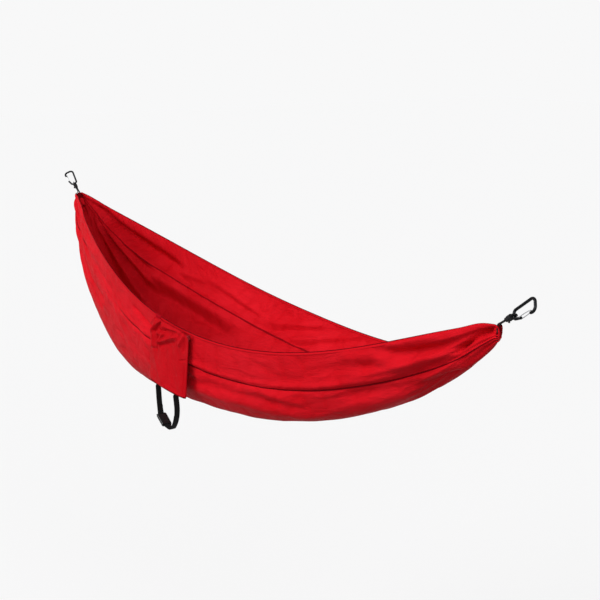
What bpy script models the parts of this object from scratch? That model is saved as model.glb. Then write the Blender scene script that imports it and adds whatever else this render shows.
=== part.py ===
"""Gathered-end camping hammock of parachute cloth, with carabiners and a stuff sack.

Metres, +Z up. The origin is the middle of the hanging line, which joins the seats
in the bows of the two carabiners. +X runs along the bed to its near end, and the
stuff sack hangs on the front rim, towards -Y.
"""
import math

import bmesh
import bpy
from mathutils import Matrix, Vector

# Clearances
GAP = 0.0003                     # between pieces that touch
SEAM_GAP = 0.0006                # between two cloth panels, edge to edge
ROPE_CLEARANCE = 0.0004          # rope in its sleeve, cord in its channel
PIVOT_CLEARANCE = 0.0004         # rope eye on the rod, gate wire in its hole
PRONG_CLEARANCE = 0.0006         # prongs in the buckle's cavity

# Bed
HALF_SPAN = 1.294                # middle of the bed to each gathered end
CLOTH = 0.0012                   # doubled nylon with its hems
END_HALF_WIDTH = 0.0078          # the gathered end is a narrow trough
END_DEPTH = 0.040
FRONT_OUT = 0.227                # how far the front rim stands out at mid bed
FRONT_DROP = 0.245               # how far it hangs below the ends
FRONT_BELLY = 0.024              # swell of the cloth under the rim, towards the far end
REAR_OUT = 0.350
REAR_DROP = 0.313
BED_DEPTH = 0.519                # how far the bottom hangs below the gathered trough
FRONT_FULLNESS = 3.39            # superellipse powers of the cross-section
REAR_FULLNESS = 1.70
END_FULLNESS = 2.60              # both, at the gathered ends
FRONT_SEAM = 0.115               # width of the front side panel
FRONT_SEAM_SHARE = 0.365         # its largest share of a gathered section
REAR_SEAM = 0.1525
REAR_SEAM_SHARE = 0.194
FOLD_SLOPE = 0.20                # fold height as a share of the fold's width
FOLD_FADE = 6.0                  # how fast the folds die away from the ends
CENTRE_FOLDS = 4
FRONT_FOLDS = 2
REAR_FOLDS = 1
LENGTH_CELLS = 28
SECTION_STEPS = 40

# Suspension
ROPE_SLOPE = math.radians(34)  # rise of the ropes towards their anchors
ROPE_DIAMETER = 0.0045
SLEEVE_RADIUS = 0.0045
SLEEVE_RIB = 0.0006              # depth of the gathers on the sleeve
SLEEVE_LIP = 0.003               # how far the sleeve stands above the rims
SLEEVE_LEG_STEPS = 8             # gathers along each straight side of the trough
SLEEVE_BEND_STEPS = 10           # and round its bottom
ROPE_REACH = 0.062               # gathered end to the rod that the eye holds
KNOT_LENGTH = 0.018
KNOT_RADIUS = 0.0072
KNOT_WRAPS = 3
WRAP_DEPTH = 0.0010

# Carabiners
CARABINER_LENGTH = 0.084
ROD_DIAMETER = 0.0075
BASKET_FLAT = 0.004              # straight rod on each side of the eye
BASKET_RADIUS = 0.008
SPINE_LEAN = math.radians(5)
BOW_RADIUS = 0.0135
SEAT_LENGTH = 0.010              # straight flat in the bow where a strap bears
NOSE_RADIUS = 0.0115
NOSE_LEAN = math.radians(10)
NOSE_LENGTH = 0.005
ARM_LEAN = math.radians(14)
ARM_LENGTH = 0.020
GATE_SETBACK = 0.003             # gate hole from the end of the arm
GATE_OVERLAP = 0.003             # gate wire past the tip of the nose
GATE_WIRE = 0.0022
GATE_END_HALF_WIDTH = 0.0032
FAR_TWIST = math.radians(60)     # turn of each carabiner about its rope
NEAR_TWIST = math.radians(25)

# Stuff sack
TAB_X = -0.047                   # the tab that ties the sack to the front rim
TAB_WIDTH = 0.036
TAB_THICKNESS = 0.0012
TAB_REACH = 0.012                # how far it goes down inside the rim
TAB_HANG = 0.006                 # how far the sack's mouth hangs below the rim
TAB_SETBACK = 0.0016             # how far the tab's end lies behind the middle of the collar
SACK_X = 0.030                   # middle of the sack
SACK_WIDTH = 0.270
SACK_HEIGHT = 0.190
SACK_TOP_DEPTH = 0.008           # front to back, at the collar
SACK_BASE_DEPTH = 0.026          # front to back, at the base
BASE_WIDTH = 0.250
BASE_THICKNESS = 0.0016
COLLAR_HEIGHT = 0.034
CORD_DIAMETER = 0.0030
CORD_KNOT_RADIUS = 0.0062

# Strap under the sack
WEB_WIDTH = 0.020
WEB_THICKNESS = 0.0015
STRAP_X = 0.0215                 # middle of the strap loop
STRAP_HALF_SPREAD = 0.0645       # to each leg at the base
BASE_WEB_OVERHANG = 0.008
BUCKLE_DIP = math.radians(30)    # slope of the buckle, falling towards the plug
BUCKLE_WIDTH = 0.033
BUCKLE_THICKNESS = 0.011
BUCKLE_WALL = 0.0020
SOCKET_LENGTH = 0.034            # moulded body, without its webbing bar
CAVITY_DEPTH = 0.026
BAR_RADIUS = 0.0013              # half the side of the square bar that webbing wraps
BAR_OFFSET = 0.0042              # bar centre from the moulding's end wall
PLUG_LENGTH = 0.010
WINDOW_LENGTH = 0.010
PRONG_LENGTH = 0.022
PRONG_WIDTH = 0.0042
PRONG_BARB = 0.0028
SOCKET_BAR_X = -0.030            # the bar that the left webbing wraps
SOCKET_BAR_BELOW_BASE = 0.109

ROD_RADIUS = ROD_DIAMETER / 2
ROPE_RADIUS = ROPE_DIAMETER / 2
CORD_RADIUS = CORD_DIAMETER / 2
ROD_SIDES = 8
SEAT_APOTHEM = ROD_RADIUS * math.cos(math.pi / ROD_SIDES)
SEAT_REACH = ROPE_REACH + CARABINER_LENGTH - ROD_DIAMETER - SEAT_APOTHEM
END_Z = -SEAT_REACH * math.sin(ROPE_SLOPE)
SLEEVE_X = HALF_SPAN + SLEEVE_RADIUS + GAP
EYE_RADIUS = ROD_RADIUS + PIVOT_CLEARANCE + ROPE_RADIUS


def material(name, colour, roughness, metallic=0.0):
    made = bpy.data.materials.get(name) or bpy.data.materials.new(name)
    made.use_nodes = True
    shader = made.node_tree.nodes["Principled BSDF"]
    shader.inputs["Base Color"].default_value = (*colour, 1.0)
    shader.inputs["Roughness"].default_value = roughness
    shader.inputs["Metallic"].default_value = metallic
    return made


def add_object(name, data, finish):
    made = bpy.data.objects.new(name, data)
    bpy.context.scene.collection.objects.link(made)
    data.materials.append(finish)
    return made


def mesh_object(name, bm, finish, smooth=True):
    bmesh.ops.recalc_face_normals(bm, faces=bm.faces)
    mesh = bpy.data.meshes.new(name)
    bm.to_mesh(mesh)
    bm.free()
    if smooth:
        mesh.shade_smooth()
        mesh.set_sharp_from_angle(angle=math.radians(35))
    return add_object(name, mesh, finish)


def solidify(piece, thickness):
    shell = piece.modifiers.new("thickness", "SOLIDIFY")
    shell.thickness = thickness
    shell.offset = 0.0
    return piece


def cut_away(piece, cutter):
    cutter.hide_render = True
    cutter.display_type = "WIRE"
    cut = piece.modifiers.new("cut " + cutter.name, "BOOLEAN")
    cut.operation = "DIFFERENCE"
    cut.solver = "EXACT"
    cut.object = cutter
    return piece


def tube(name, points, radius, finish, cyclic=False, resolution=2):
    curve = bpy.data.curves.new(name, "CURVE")
    curve.dimensions = "3D"
    curve.bevel_depth = radius
    curve.bevel_resolution = resolution
    curve.use_fill_caps = not cyclic
    line = curve.splines.new("POLY")
    line.points.add(len(points) - 1)
    for spot, point in zip(line.points, points):
        spot.co = (*point, 1.0)
    line.use_cyclic_u = cyclic
    return add_object(name, curve, finish)


def frame_at(point, along, side, size=1.0):
    """Matrix whose Z runs along a path and whose X is the given side."""
    forward = Vector(along).normalized()
    across = Vector(side).normalized()
    up = forward.cross(across)
    turn = Matrix((across, up, forward)).transposed().to_4x4()
    return Matrix.Translation(point) @ turn @ Matrix.Diagonal((size, size, size, 1.0))


def sweep(bm, stations, sides, phase=0.0):
    """Extrude one ring of edges from station to station; returns both end rings."""
    ring = bmesh.ops.create_circle(bm, segments=sides, radius=1.0,
                                   matrix=stations[0] @ Matrix.Rotation(phase, 4, "Z"))
    edges = list({edge for vert in ring["verts"] for edge in vert.link_edges})
    first = edges
    for before, after in zip(stations, stations[1:]):
        grown = bmesh.ops.extrude_edge_only(bm, edges=edges)["geom"]
        verts = [item for item in grown if isinstance(item, bmesh.types.BMVert)]
        edges = [item for item in grown if isinstance(item, bmesh.types.BMEdge)]
        edges = [edge for edge in edges if edge.verts[0] in verts and edge.verts[1] in verts]
        bmesh.ops.transform(bm, matrix=after @ before.inverted(), verts=verts)
    return first, edges


def cap(bm, *rings):
    for ring in rings:
        bmesh.ops.holes_fill(bm, edges=ring, sides=0)


def lengthwise(u, power, roundness, lean):
    """A hump along the bed: 0 at both ends, about 1 in the middle."""
    return (1 - abs(u) ** power) ** roundness * (1 + lean * u)


def section(u):
    """Points (y, z) of the cloth across the bed, from the front rim to the rear rim."""
    front_out = END_HALF_WIDTH + FRONT_OUT * lengthwise(u, 1.905, 1.03, -0.12)
    front_drop = FRONT_DROP * lengthwise(u, 2.06, 1.36, 0.45)
    rear_out = END_HALF_WIDTH + REAR_OUT * lengthwise(u, 2.82, 1.0, -0.066)
    rear_drop = REAR_DROP * lengthwise(u, 2.55, 1.0, 0.08)
    depth = END_DEPTH + BED_DEPTH * lengthwise(u, 3.28, 1.0, -0.30)
    gathered = abs(u) ** 12
    belly = FRONT_BELLY * 4 * abs(u) ** 6 * (1 - abs(u) ** 6) * (1 - u) / 2
    points = []
    for step in range(SECTION_STEPS + 1):
        turn = math.pi / 2 * step / SECTION_STEPS
        power = 2 / (FRONT_FULLNESS + (END_FULLNESS - FRONT_FULLNESS) * gathered)
        points.append((-front_out * max(math.cos(turn), 0.0) ** power - belly * math.sin(2 * turn),
                       -front_drop - (depth - front_drop) * math.sin(turn) ** power))
    for step in range(SECTION_STEPS - 1, -1, -1):
        turn = math.pi / 2 * step / SECTION_STEPS
        power = 2 / (REAR_FULLNESS + (END_FULLNESS - REAR_FULLNESS) * gathered)
        points.append((rear_out * math.cos(turn) ** power,
                       -rear_drop - (depth - rear_drop) * math.sin(turn) ** power))
    return points


class Section:
    """One cross-section, measured along the cloth."""

    kept = {}

    def __init__(self, u):
        self.points = [Vector((0.0, y, END_Z + z)) for y, z in section(u)]
        self.arc = [0.0]
        for before, after in zip(self.points, self.points[1:]):
            self.arc.append(self.arc[-1] + (after - before).length)

    @classmethod
    def at(cls, x):
        u = round(max(-1.0, min(1.0, x / HALF_SPAN)), 9)
        if u not in cls.kept:
            cls.kept[u] = cls(u)
        return cls.kept[u]

    @property
    def length(self):
        return self.arc[-1]

    def point(self, distance):
        """The point at this distance from the front rim, and the outward normal there."""
        distance = max(0.0, min(self.length, distance))
        last = len(self.arc) - 2
        index = next((i for i in range(last) if self.arc[i + 1] > distance), last)
        start = self.points[index]
        step = self.points[index + 1] - start
        share = (distance - self.arc[index]) / step.length
        normal = Vector((0.0, step.z, -step.y)).normalized()
        return start + step * share, normal


def seam_distance(length, width, share):
    """Full panel width in the open bed, a share of the cloth where it is gathered."""
    return (width ** -4 + (share * length) ** -4) ** -0.25


def length_station(share):
    """x of a row of cloth vertices, closer together towards the gathered ends."""
    return HALF_SPAN * math.sin(math.pi / 2 * share)


LENGTH_STATIONS = [length_station(2 * cell / LENGTH_CELLS - 1) for cell in range(LENGTH_CELLS + 1)]


def rim_row(x):
    point, _ = Section.at(x).point(0.0)
    return Vector((x, point.y, point.z))


def rim_point(x):
    """The front rim as it is built, straight between two rows of vertices."""
    index = max(i for i, row in enumerate(LENGTH_STATIONS[:-1]) if row <= x)
    before = rim_row(LENGTH_STATIONS[index])
    after = rim_row(LENGTH_STATIONS[index + 1])
    return before.lerp(after, (x - before.x) / (after.x - before.x))


def panel(name, edges, across_cells, folds, finish):
    """A cloth panel between two lines along the bed, folded towards its gathered ends."""
    bm = bmesh.new()
    bmesh.ops.create_grid(bm, x_segments=LENGTH_CELLS, y_segments=across_cells, size=1.0)
    for vert in bm.verts:
        x = length_station(vert.co.x)
        v = (vert.co.y + 1) / 2
        across = Section.at(x)
        low, high = edges(across.length)
        point, normal = across.point(low + (high - low) * v)
        ridge = math.sin(2 * math.pi * folds * v) * (abs(x) / HALF_SPAN) ** FOLD_FADE
        lift = FOLD_SLOPE * (high - low) / folds * ridge
        vert.co = Vector((x, point.y, point.z)) + normal * lift
    return solidify(mesh_object(name, bm, finish), CLOTH)


def front_edges(length):
    return 0.0, seam_distance(length, FRONT_SEAM, FRONT_SEAM_SHARE) - SEAM_GAP / 2


def rear_edges(length):
    return length - seam_distance(length, REAR_SEAM, REAR_SEAM_SHARE) + SEAM_GAP / 2, length


def centre_edges(length):
    return front_edges(length)[1] + SEAM_GAP, rear_edges(length)[0] - SEAM_GAP


def trough_line(side):
    """The gathered trough at one end, from the front lip to the rear lip."""
    straight = END_DEPTH - END_HALF_WIDTH
    leg = [SLEEVE_LIP] + [-straight * step / SLEEVE_LEG_STEPS for step in range(SLEEVE_LEG_STEPS)]
    profile = [(-END_HALF_WIDTH, z) for z in leg]
    for step in range(SLEEVE_BEND_STEPS + 1):
        turn = math.pi * step / SLEEVE_BEND_STEPS
        profile.append((-END_HALF_WIDTH * math.cos(turn), -straight - END_HALF_WIDTH * math.sin(turn)))
    profile += [(END_HALF_WIDTH, z) for z in leg[::-1]]
    return [Vector((side * SLEEVE_X, y, END_Z + z)) for y, z in profile]


def path_stations(points, side_axis, sizes):
    stations = []
    for index, point in enumerate(points):
        before = points[max(index - 1, 0)]
        after = points[min(index + 1, len(points) - 1)]
        stations.append(frame_at(point, after - before, side_axis, sizes[index]))
    return stations


def sleeve(name, side, finish):
    """The end hem, gathered on the rope: a ribbed outside round a smooth bore."""
    line = trough_line(side)
    ribs = [SLEEVE_RADIUS - SLEEVE_RIB * (index % 2) for index in range(len(line))]
    bm = bmesh.new()
    cap(bm, *sweep(bm, path_stations(line, (1, 0, 0), ribs), 10))
    outside = mesh_object(name, bm, finish)
    past = Vector((0.0, 0.0, SLEEVE_LIP))
    through = [line[0] + past] + line + [line[-1] + past]
    sizes = [ROPE_RADIUS + ROPE_CLEARANCE] * len(through)
    bore = bmesh.new()
    cap(bore, *sweep(bore, path_stations(through, (1, 0, 0), sizes), 8))
    return cut_away(outside, mesh_object(name + "_bore", bore, finish))


def rope_direction(side):
    return Vector((side * math.cos(ROPE_SLOPE), 0.0, math.sin(ROPE_SLOPE)))


def along_rope(side, distance):
    return Vector((side * HALF_SPAN, 0.0, END_Z)) + rope_direction(side) * distance


def bezier(start, leave, arrive, end, steps):
    points = []
    for step in range(steps + 1):
        t = step / steps
        points.append(start * (1 - t) ** 3 + leave * 3 * t * (1 - t) ** 2
                      + arrive * 3 * t * t * (1 - t) + end * t ** 3)
    return points


def knot_start():
    return ROPE_REACH - EYE_RADIUS - KNOT_LENGTH


def strand(side, y_sign):
    """One strand, from the lip of the sleeve up to the knot."""
    line = trough_line(side)
    lip = line[0] if y_sign < 0 else line[-1]
    pull = 0.008
    beside = Vector((0.0, y_sign * (ROPE_RADIUS + GAP / 2), 0.0))
    knot = along_rope(side, knot_start() - GAP) + beside
    return bezier(lip, lip + Vector((0, 0, pull)), knot - rope_direction(side) * pull, knot, 7)


def rope(name, side, finish):
    down = strand(side, -1)[::-1]
    up = strand(side, 1)
    points = down[:-1] + trough_line(side) + up[1:]
    return tube(name, points, ROPE_RADIUS, finish)


def knot(name, side, finish):
    """The wrapped knot, and the eye that it closes round the carabiner's rod."""
    rings = 4 * KNOT_WRAPS
    start = knot_start()
    stations = []
    for ring in range(rings + 1):
        share = ring / rings
        wrap = WRAP_DEPTH * math.cos(2 * math.pi * KNOT_WRAPS * share)
        taper = 0.62 + 0.38 * math.sin(math.pi * share)
        stations.append(frame_at(along_rope(side, start + KNOT_LENGTH * share), rope_direction(side),
                                 (0, 1, 0), KNOT_RADIUS * taper - wrap))
    bm = bmesh.new()
    cap(bm, *sweep(bm, stations, 12))
    knot_body = mesh_object(name, bm, finish)
    eye_line = []
    width = gate_side(side)
    centre = along_rope(side, ROPE_REACH)
    for step in range(20):
        turn = Matrix.Rotation(2 * math.pi * step / 20, 4, width)
        eye_line.append(centre + turn @ (rope_direction(side) * EYE_RADIUS))
    eye = tube(name + "_eye", eye_line, ROPE_RADIUS, finish, cyclic=True)
    join = knot_body.modifiers.new("eye", "BOOLEAN")
    join.operation = "UNION"
    join.solver = "EXACT"
    join.object = curve_to_mesh(eye)
    return knot_body


def curve_to_mesh(piece):
    """A hidden mesh copy of a curve, because a Boolean reads only meshes."""
    ready = piece.evaluated_get(bpy.context.evaluated_depsgraph_get())
    guide = bpy.data.objects.new(piece.name + "_guide", bpy.data.meshes.new_from_object(ready))
    bpy.context.scene.collection.objects.link(guide)
    guide.hide_render = True
    guide.display_type = "WIRE"
    bpy.data.objects.remove(piece)
    return guide


def gate_side(side):
    """Unit vector across a carabiner, from its spine to its gate."""
    twist = NEAR_TWIST if side > 0 else FAR_TWIST
    below = Vector((side * math.sin(ROPE_SLOPE), 0.0, -math.cos(ROPE_SLOPE)))
    return below * math.cos(twist) + Vector((0, -1, 0)) * math.sin(twist)


def walk(heading, moves):
    """Stations (point, heading) of a rod bent in a plane: runs and (radius, turn) bends."""
    point = Vector((0.0, 0.0, 0.0))
    stations = [(point.copy(), heading)]
    for move in moves:
        if isinstance(move, float):
            point = point + Vector((math.cos(heading), math.sin(heading), 0)) * move
            stations.append((point.copy(), heading))
            continue
        radius, turn = move
        steps = max(2, math.ceil(abs(turn) / math.radians(18)))
        hand = math.copysign(1.0, turn)
        centre = point + Vector((-math.sin(heading), math.cos(heading), 0)) * radius * hand
        for step in range(1, steps + 1):
            arm = Matrix.Rotation(turn * step / steps, 4, "Z") @ (point - centre)
            stations.append((centre + arm, heading + turn * step / steps))
        point = stations[-1][0].copy()
        heading += turn
    return stations


QUARTER = math.pi / 2
SPINE_LENGTH = ((CARABINER_LENGTH - ROD_DIAMETER - BOW_RADIUS * (1 + math.sin(SPINE_LEAN))
                 - BASKET_RADIUS * (1 - math.sin(SPINE_LEAN))) / math.cos(SPINE_LEAN))
SPINE_WALK = walk(-QUARTER, [BASKET_FLAT, (BASKET_RADIUS, QUARTER - SPINE_LEAN), SPINE_LENGTH,
                             (BOW_RADIUS, QUARTER + SPINE_LEAN), SEAT_LENGTH,
                             (NOSE_RADIUS, QUARTER + NOSE_LEAN), NOSE_LENGTH])
ARM_WALK = walk(QUARTER, [BASKET_FLAT, (BASKET_RADIUS, ARM_LEAN - QUARTER), ARM_LENGTH])


def heading_vector(heading):
    return Vector((math.cos(heading), math.sin(heading), 0.0))


def gate_points():
    """The gate's pivot and the middle of its end bar, in the carabiner's plane."""
    arm_end, arm_heading = ARM_WALK[-1]
    pivot = arm_end - heading_vector(arm_heading) * GATE_SETBACK
    nose_end, nose_heading = SPINE_WALK[-1]
    back = heading_vector(nose_heading)
    inward = Vector((-back.y, back.x, 0.0))
    rest = ROD_RADIUS + GATE_WIRE / 2 + GAP
    return pivot, nose_end - back * GATE_OVERLAP + inward * rest


def carabiner(name, side, finish):
    """The bent rod, its origin on the rod that the rope's eye holds."""
    down_arm = [(point, heading + math.pi) for point, heading in ARM_WALK[:0:-1]]
    stations = []
    for point, heading in down_arm + SPINE_WALK:
        stations.append(frame_at(point, heading_vector(heading), (0, 0, 1), ROD_RADIUS))
    bm = bmesh.new()
    cap(bm, *sweep(bm, stations, ROD_SIDES, math.pi / ROD_SIDES))
    body = mesh_object(name, bm, finish)
    length = rope_direction(side)
    width = gate_side(side)
    turn = Matrix((length, width, length.cross(width))).transposed().to_4x4()
    body.matrix_world = Matrix.Translation(along_rope(side, ROPE_REACH)) @ turn
    hole = bmesh.new()
    bmesh.ops.create_cone(hole, segments=10, radius1=GATE_WIRE / 2 + PIVOT_CLEARANCE,
                          radius2=GATE_WIRE / 2 + PIVOT_CLEARANCE, depth=4 * ROD_DIAMETER,
                          cap_ends=True)
    cutter = mesh_object(name + "_gate_hole", hole, finish)
    cutter.parent = body
    cutter.location = gate_points()[0]
    return cut_away(body, cutter)


def gate(name, body, finish):
    """A closed loop of wire that passes through the arm and rests inside the nose."""
    pivot, rest = gate_points()
    along = (rest - pivot).normalized()
    reach = (rest - pivot).length
    wide = ROD_RADIUS + GATE_WIRE / 2 + GAP
    corner = GATE_WIRE
    outline = []
    for sign in (1, -1):
        half = [(0.0, 0.35 * wide), (0.0, wide - corner), (0.3 * corner, wide - 0.3 * corner),
                (corner, wide), (0.45 * reach, wide), (0.8 * reach, GATE_END_HALF_WIDTH + 0.0008),
                (reach - corner, GATE_END_HALF_WIDTH), (reach - 0.3 * corner,
                                                        GATE_END_HALF_WIDTH - 0.4 * corner),
                (reach, GATE_END_HALF_WIDTH - corner)]
        outline += [(x, sign * z) for x, z in (half if sign > 0 else half[::-1])]
    points = [along * x + Vector((0, 0, z)) for x, z in outline]
    wire = tube(name, points, GATE_WIRE / 2, finish, cyclic=True, resolution=1)
    wire.parent = body
    wire.location = pivot
    return wire


RIM = rim_point(TAB_X)
SACK_PIVOT_RADIUS = SACK_TOP_DEPTH / 2
RIM_FRONT = min(rim_row(x).y for x in LENGTH_STATIONS)
SACK_BACK_Y = RIM_FRONT - CLOTH / 2 - GAP
COLLAR_TOP = RIM.z - TAB_HANG
SACK_PIVOT = Vector((TAB_X, SACK_BACK_Y - SACK_PIVOT_RADIUS, COLLAR_TOP - SACK_PIVOT_RADIUS))
COLLAR_BOTTOM = COLLAR_TOP - COLLAR_HEIGHT
SACK_TOP = COLLAR_BOTTOM - GAP
SACK_BOTTOM = SACK_TOP - SACK_HEIGHT
BASE_BOTTOM = SACK_BOTTOM - GAP - BASE_THICKNESS
BASE_Y = SACK_BACK_Y - SACK_BASE_DEPTH / 2
BASE_WEB_BOTTOM = BASE_BOTTOM - GAP - WEB_THICKNESS
CORD_Z = COLLAR_TOP - 0.5 * COLLAR_HEIGHT
STRAP_PIVOT = Vector((STRAP_X, BASE_Y, BASE_WEB_BOTTOM - GAP - WEB_WIDTH / 2))


def sack_tab(finish):
    """Folded cloth that grips the front rim and carries the sack."""
    inside = CLOTH / 2 + GAP + TAB_THICKNESS / 2
    top = CLOTH / 2 + GAP + TAB_THICKNESS / 2
    outside = SACK_PIVOT.y + TAB_SETBACK - RIM.y
    ends = [rim_point(TAB_X + TAB_WIDTH * share).z for share in (-0.5, 0.5)]
    drop = COLLAR_TOP + GAP - min(ends)
    profile = [(inside, -TAB_REACH), (inside, 0.0), (inside * 0.5, top), (outside * 0.5, top),
               (outside, top * 0.4), (outside, drop)]
    bm = bmesh.new()
    stations = 5
    edges = []
    for station in range(stations):
        x = TAB_X + TAB_WIDTH * (station / (stations - 1) - 0.5)
        rim = rim_point(x)
        if station == 0:
            verts = [bm.verts.new((x, rim.y + y, rim.z + z)) for y, z in profile]
            edges = [bm.edges.new(pair) for pair in zip(verts, verts[1:])]
            continue
        grown = bmesh.ops.extrude_edge_only(bm, edges=edges)["geom"]
        verts = [item for item in grown if isinstance(item, bmesh.types.BMVert)]
        edges = [item for item in grown if isinstance(item, bmesh.types.BMEdge)
                 and item.verts[0] in verts and item.verts[1] in verts]
        step = rim - rim_point(x - TAB_WIDTH / (stations - 1))
        bmesh.ops.translate(bm, vec=step, verts=verts)
    return solidify(mesh_object("sack_tab", bm, finish), TAB_THICKNESS)


def rounded_slab(name, outline, back_y, depth, round_edge, finish):
    """An upright slab: an outline in X and Z, extruded towards -Y, with rounded edges."""
    bm = bmesh.new()
    face = bm.faces.new([bm.verts.new((x, back_y, z)) for x, z in outline])
    grown = bmesh.ops.extrude_face_region(bm, geom=[face])["geom"]
    verts = [item for item in grown if isinstance(item, bmesh.types.BMVert)]
    bmesh.ops.translate(bm, vec=(0, -depth, 0), verts=verts)
    loops = [edge for edge in bm.edges if abs(edge.verts[0].co.y - edge.verts[1].co.y) < GAP / 3]
    bmesh.ops.bevel(bm, geom=loops, offset=round_edge, offset_type="OFFSET", segments=3,
                    profile=0.5, affect="EDGES", material=-1)
    return mesh_object(name, bm, finish)


def sack_collar(finish):
    """The gathered mouth, with a channel for the drawcord."""
    half = SACK_WIDTH / 2
    low = COLLAR_BOTTOM
    high = COLLAR_TOP
    outline = [(SACK_X - half + 0.004, low), (SACK_X + half - 0.004, low),
               (SACK_X + half - 0.010, high - 0.016), (SACK_X + half - 0.045, high - 0.008),
               (TAB_X + TAB_WIDTH, high - 0.004), (TAB_X + TAB_WIDTH / 2, high),
               (TAB_X - TAB_WIDTH / 2, high), (SACK_X - half + 0.012, high - 0.012)]
    collar = rounded_slab("sack_collar", outline, SACK_BACK_Y, SACK_TOP_DEPTH,
                          SACK_PIVOT_RADIUS * 0.97, finish)
    bore = bmesh.new()
    start = Vector((SACK_X - half + 0.030, SACK_PIVOT.y, CORD_Z))
    stop = Vector((SACK_X + half + 0.010, SACK_PIVOT.y, CORD_Z))
    size = CORD_RADIUS + ROPE_CLEARANCE
    stations = [frame_at(spot, stop - start, (0, 1, 0), size) for spot in (start, stop)]
    cap(bore, *sweep(bore, stations, 10))
    return cut_away(collar, mesh_object("cord_channel", bore, finish))


def cord_end():
    return Vector((SACK_X + SACK_WIDTH / 2 + 0.0005, SACK_PIVOT.y, CORD_Z))


def drawcord(finish):
    """The cord in the collar, from its sewn end to the knot outside."""
    start = Vector((SACK_X - SACK_WIDTH / 2 + 0.0305, SACK_PIVOT.y, CORD_Z))
    steps = 12
    points = [start.lerp(cord_end(), step / steps) for step in range(steps + 1)]
    return tube("drawcord", points, CORD_RADIUS, finish, resolution=1)


def drawcord_knot(finish):
    rings = 8
    start = cord_end() + Vector((GAP, 0, 0))
    stations = []
    for ring in range(rings + 1):
        share = ring / rings
        swell = 0.35 + 0.65 * math.sin(math.pi * (0.08 + 0.84 * share))
        waist = 0.12 * math.cos(4 * math.pi * share)
        centre = start + Vector((2 * CORD_KNOT_RADIUS * share, 0, 0))
        stations.append(frame_at(centre, (1, 0, 0), (0, 1, 0), CORD_KNOT_RADIUS * (swell - waist)))
    bm = bmesh.new()
    cap(bm, *sweep(bm, stations, 10))
    return mesh_object("drawcord_knot", bm, finish)


def sack_body(finish):
    """The empty sack: a flat top under the collar that fills out to its base."""
    bm = bmesh.new()
    bmesh.ops.create_grid(bm, x_segments=10, y_segments=8, size=1.0)
    face_area = list(bm.faces)
    grown = bmesh.ops.extrude_face_region(bm, geom=face_area)["geom"]
    front = {item for item in grown if isinstance(item, bmesh.types.BMVert)}
    for vert in bm.verts:
        u = vert.co.x
        down = (1 - vert.co.y) / 2
        depth = SACK_TOP_DEPTH + (SACK_BASE_DEPTH - SACK_TOP_DEPTH) * down ** 1.5
        rounding = (1 - abs(u) ** 3) ** 0.5 if abs(u) < 1 else 0.0
        edge_depth = 0.45 * SACK_TOP_DEPTH
        half_depth = edge_depth + (depth - edge_depth) * rounding
        x = SACK_X + SACK_WIDTH / 2 * u
        middle = SACK_BACK_Y - depth / 2
        y = middle - half_depth / 2 if vert in front else middle + half_depth / 2
        vert.co = Vector((x, y, SACK_TOP - SACK_HEIGHT * down))
    return mesh_object("sack_body", bm, finish)


def sack_base(finish):
    """The oval panel that closes the sack's lower end."""
    bm = bmesh.new()
    ring = bmesh.ops.create_circle(bm, segments=28, radius=1.0, cap_ends=True)["verts"]
    for vert in ring:
        vert.co = Vector((SACK_X + BASE_WIDTH / 2 * vert.co.x,
                          BASE_Y + SACK_BASE_DEPTH / 2 * vert.co.y, BASE_BOTTOM))
    grown = bmesh.ops.extrude_face_region(bm, geom=list(bm.faces))["geom"]
    verts = [item for item in grown if isinstance(item, bmesh.types.BMVert)]
    bmesh.ops.translate(bm, vec=(0, 0, BASE_THICKNESS), verts=verts)
    return mesh_object("sack_base", bm, finish)


def ribbon(name, path, finish, rounded_start=False):
    """Webbing that follows a path in X and Z, with its width along Y."""
    bm = bmesh.new()
    verts = [bm.verts.new((x, 0.0, z)) for x, z in path]
    edges = [bm.edges.new(pair) for pair in zip(verts, verts[1:])]
    grown = bmesh.ops.extrude_edge_only(bm, edges=edges)["geom"]
    far = [item for item in grown if isinstance(item, bmesh.types.BMVert)]
    bmesh.ops.translate(bm, vec=(0, 1, 0), verts=far)
    top = path[0][1]
    for vert in bm.verts:
        half = WEB_WIDTH / 2
        below = top - vert.co.z
        if rounded_start and below < half:
            half = math.sqrt(max(half ** 2 - (half - below) ** 2, (0.2 * half) ** 2))
        vert.co.y = BASE_Y + (half if vert.co.y > 0.5 else -half)
    piece = solidify(mesh_object(name, bm, finish), WEB_THICKNESS)
    piece.modifiers["thickness"].use_even_offset = True
    return piece


def arc(centre, radius, start, stop, steps):
    points = []
    for step in range(steps + 1):
        turn = math.radians(start + (stop - start) * step / steps)
        points.append((centre[0] + radius * math.cos(turn), centre[1] + radius * math.sin(turn)))
    return points


WRAP_RADIUS = BAR_RADIUS * math.sqrt(2) + GAP + WEB_THICKNESS / 2
LAYER = WEB_THICKNESS + GAP
LEG_TOP = BASE_WEB_BOTTOM - GAP
SOCKET_BAR = (SOCKET_BAR_X, BASE_BOTTOM - SOCKET_BAR_BELOW_BASE)
BAR_TO_BAR = 2 * BAR_OFFSET + SOCKET_LENGTH + GAP + PLUG_LENGTH
PLUG_BAR = (SOCKET_BAR[0] + BAR_TO_BAR * math.cos(BUCKLE_DIP),
            SOCKET_BAR[1] - BAR_TO_BAR * math.sin(BUCKLE_DIP))


def leg_start(x, lean):
    """The first points of a leg, close together where its end is rounded."""
    drops = (0.0, 0.0008, 0.0025, 0.005, 0.010)
    return [(x + lean * drop, LEG_TOP - drop) for drop in drops]


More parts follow.
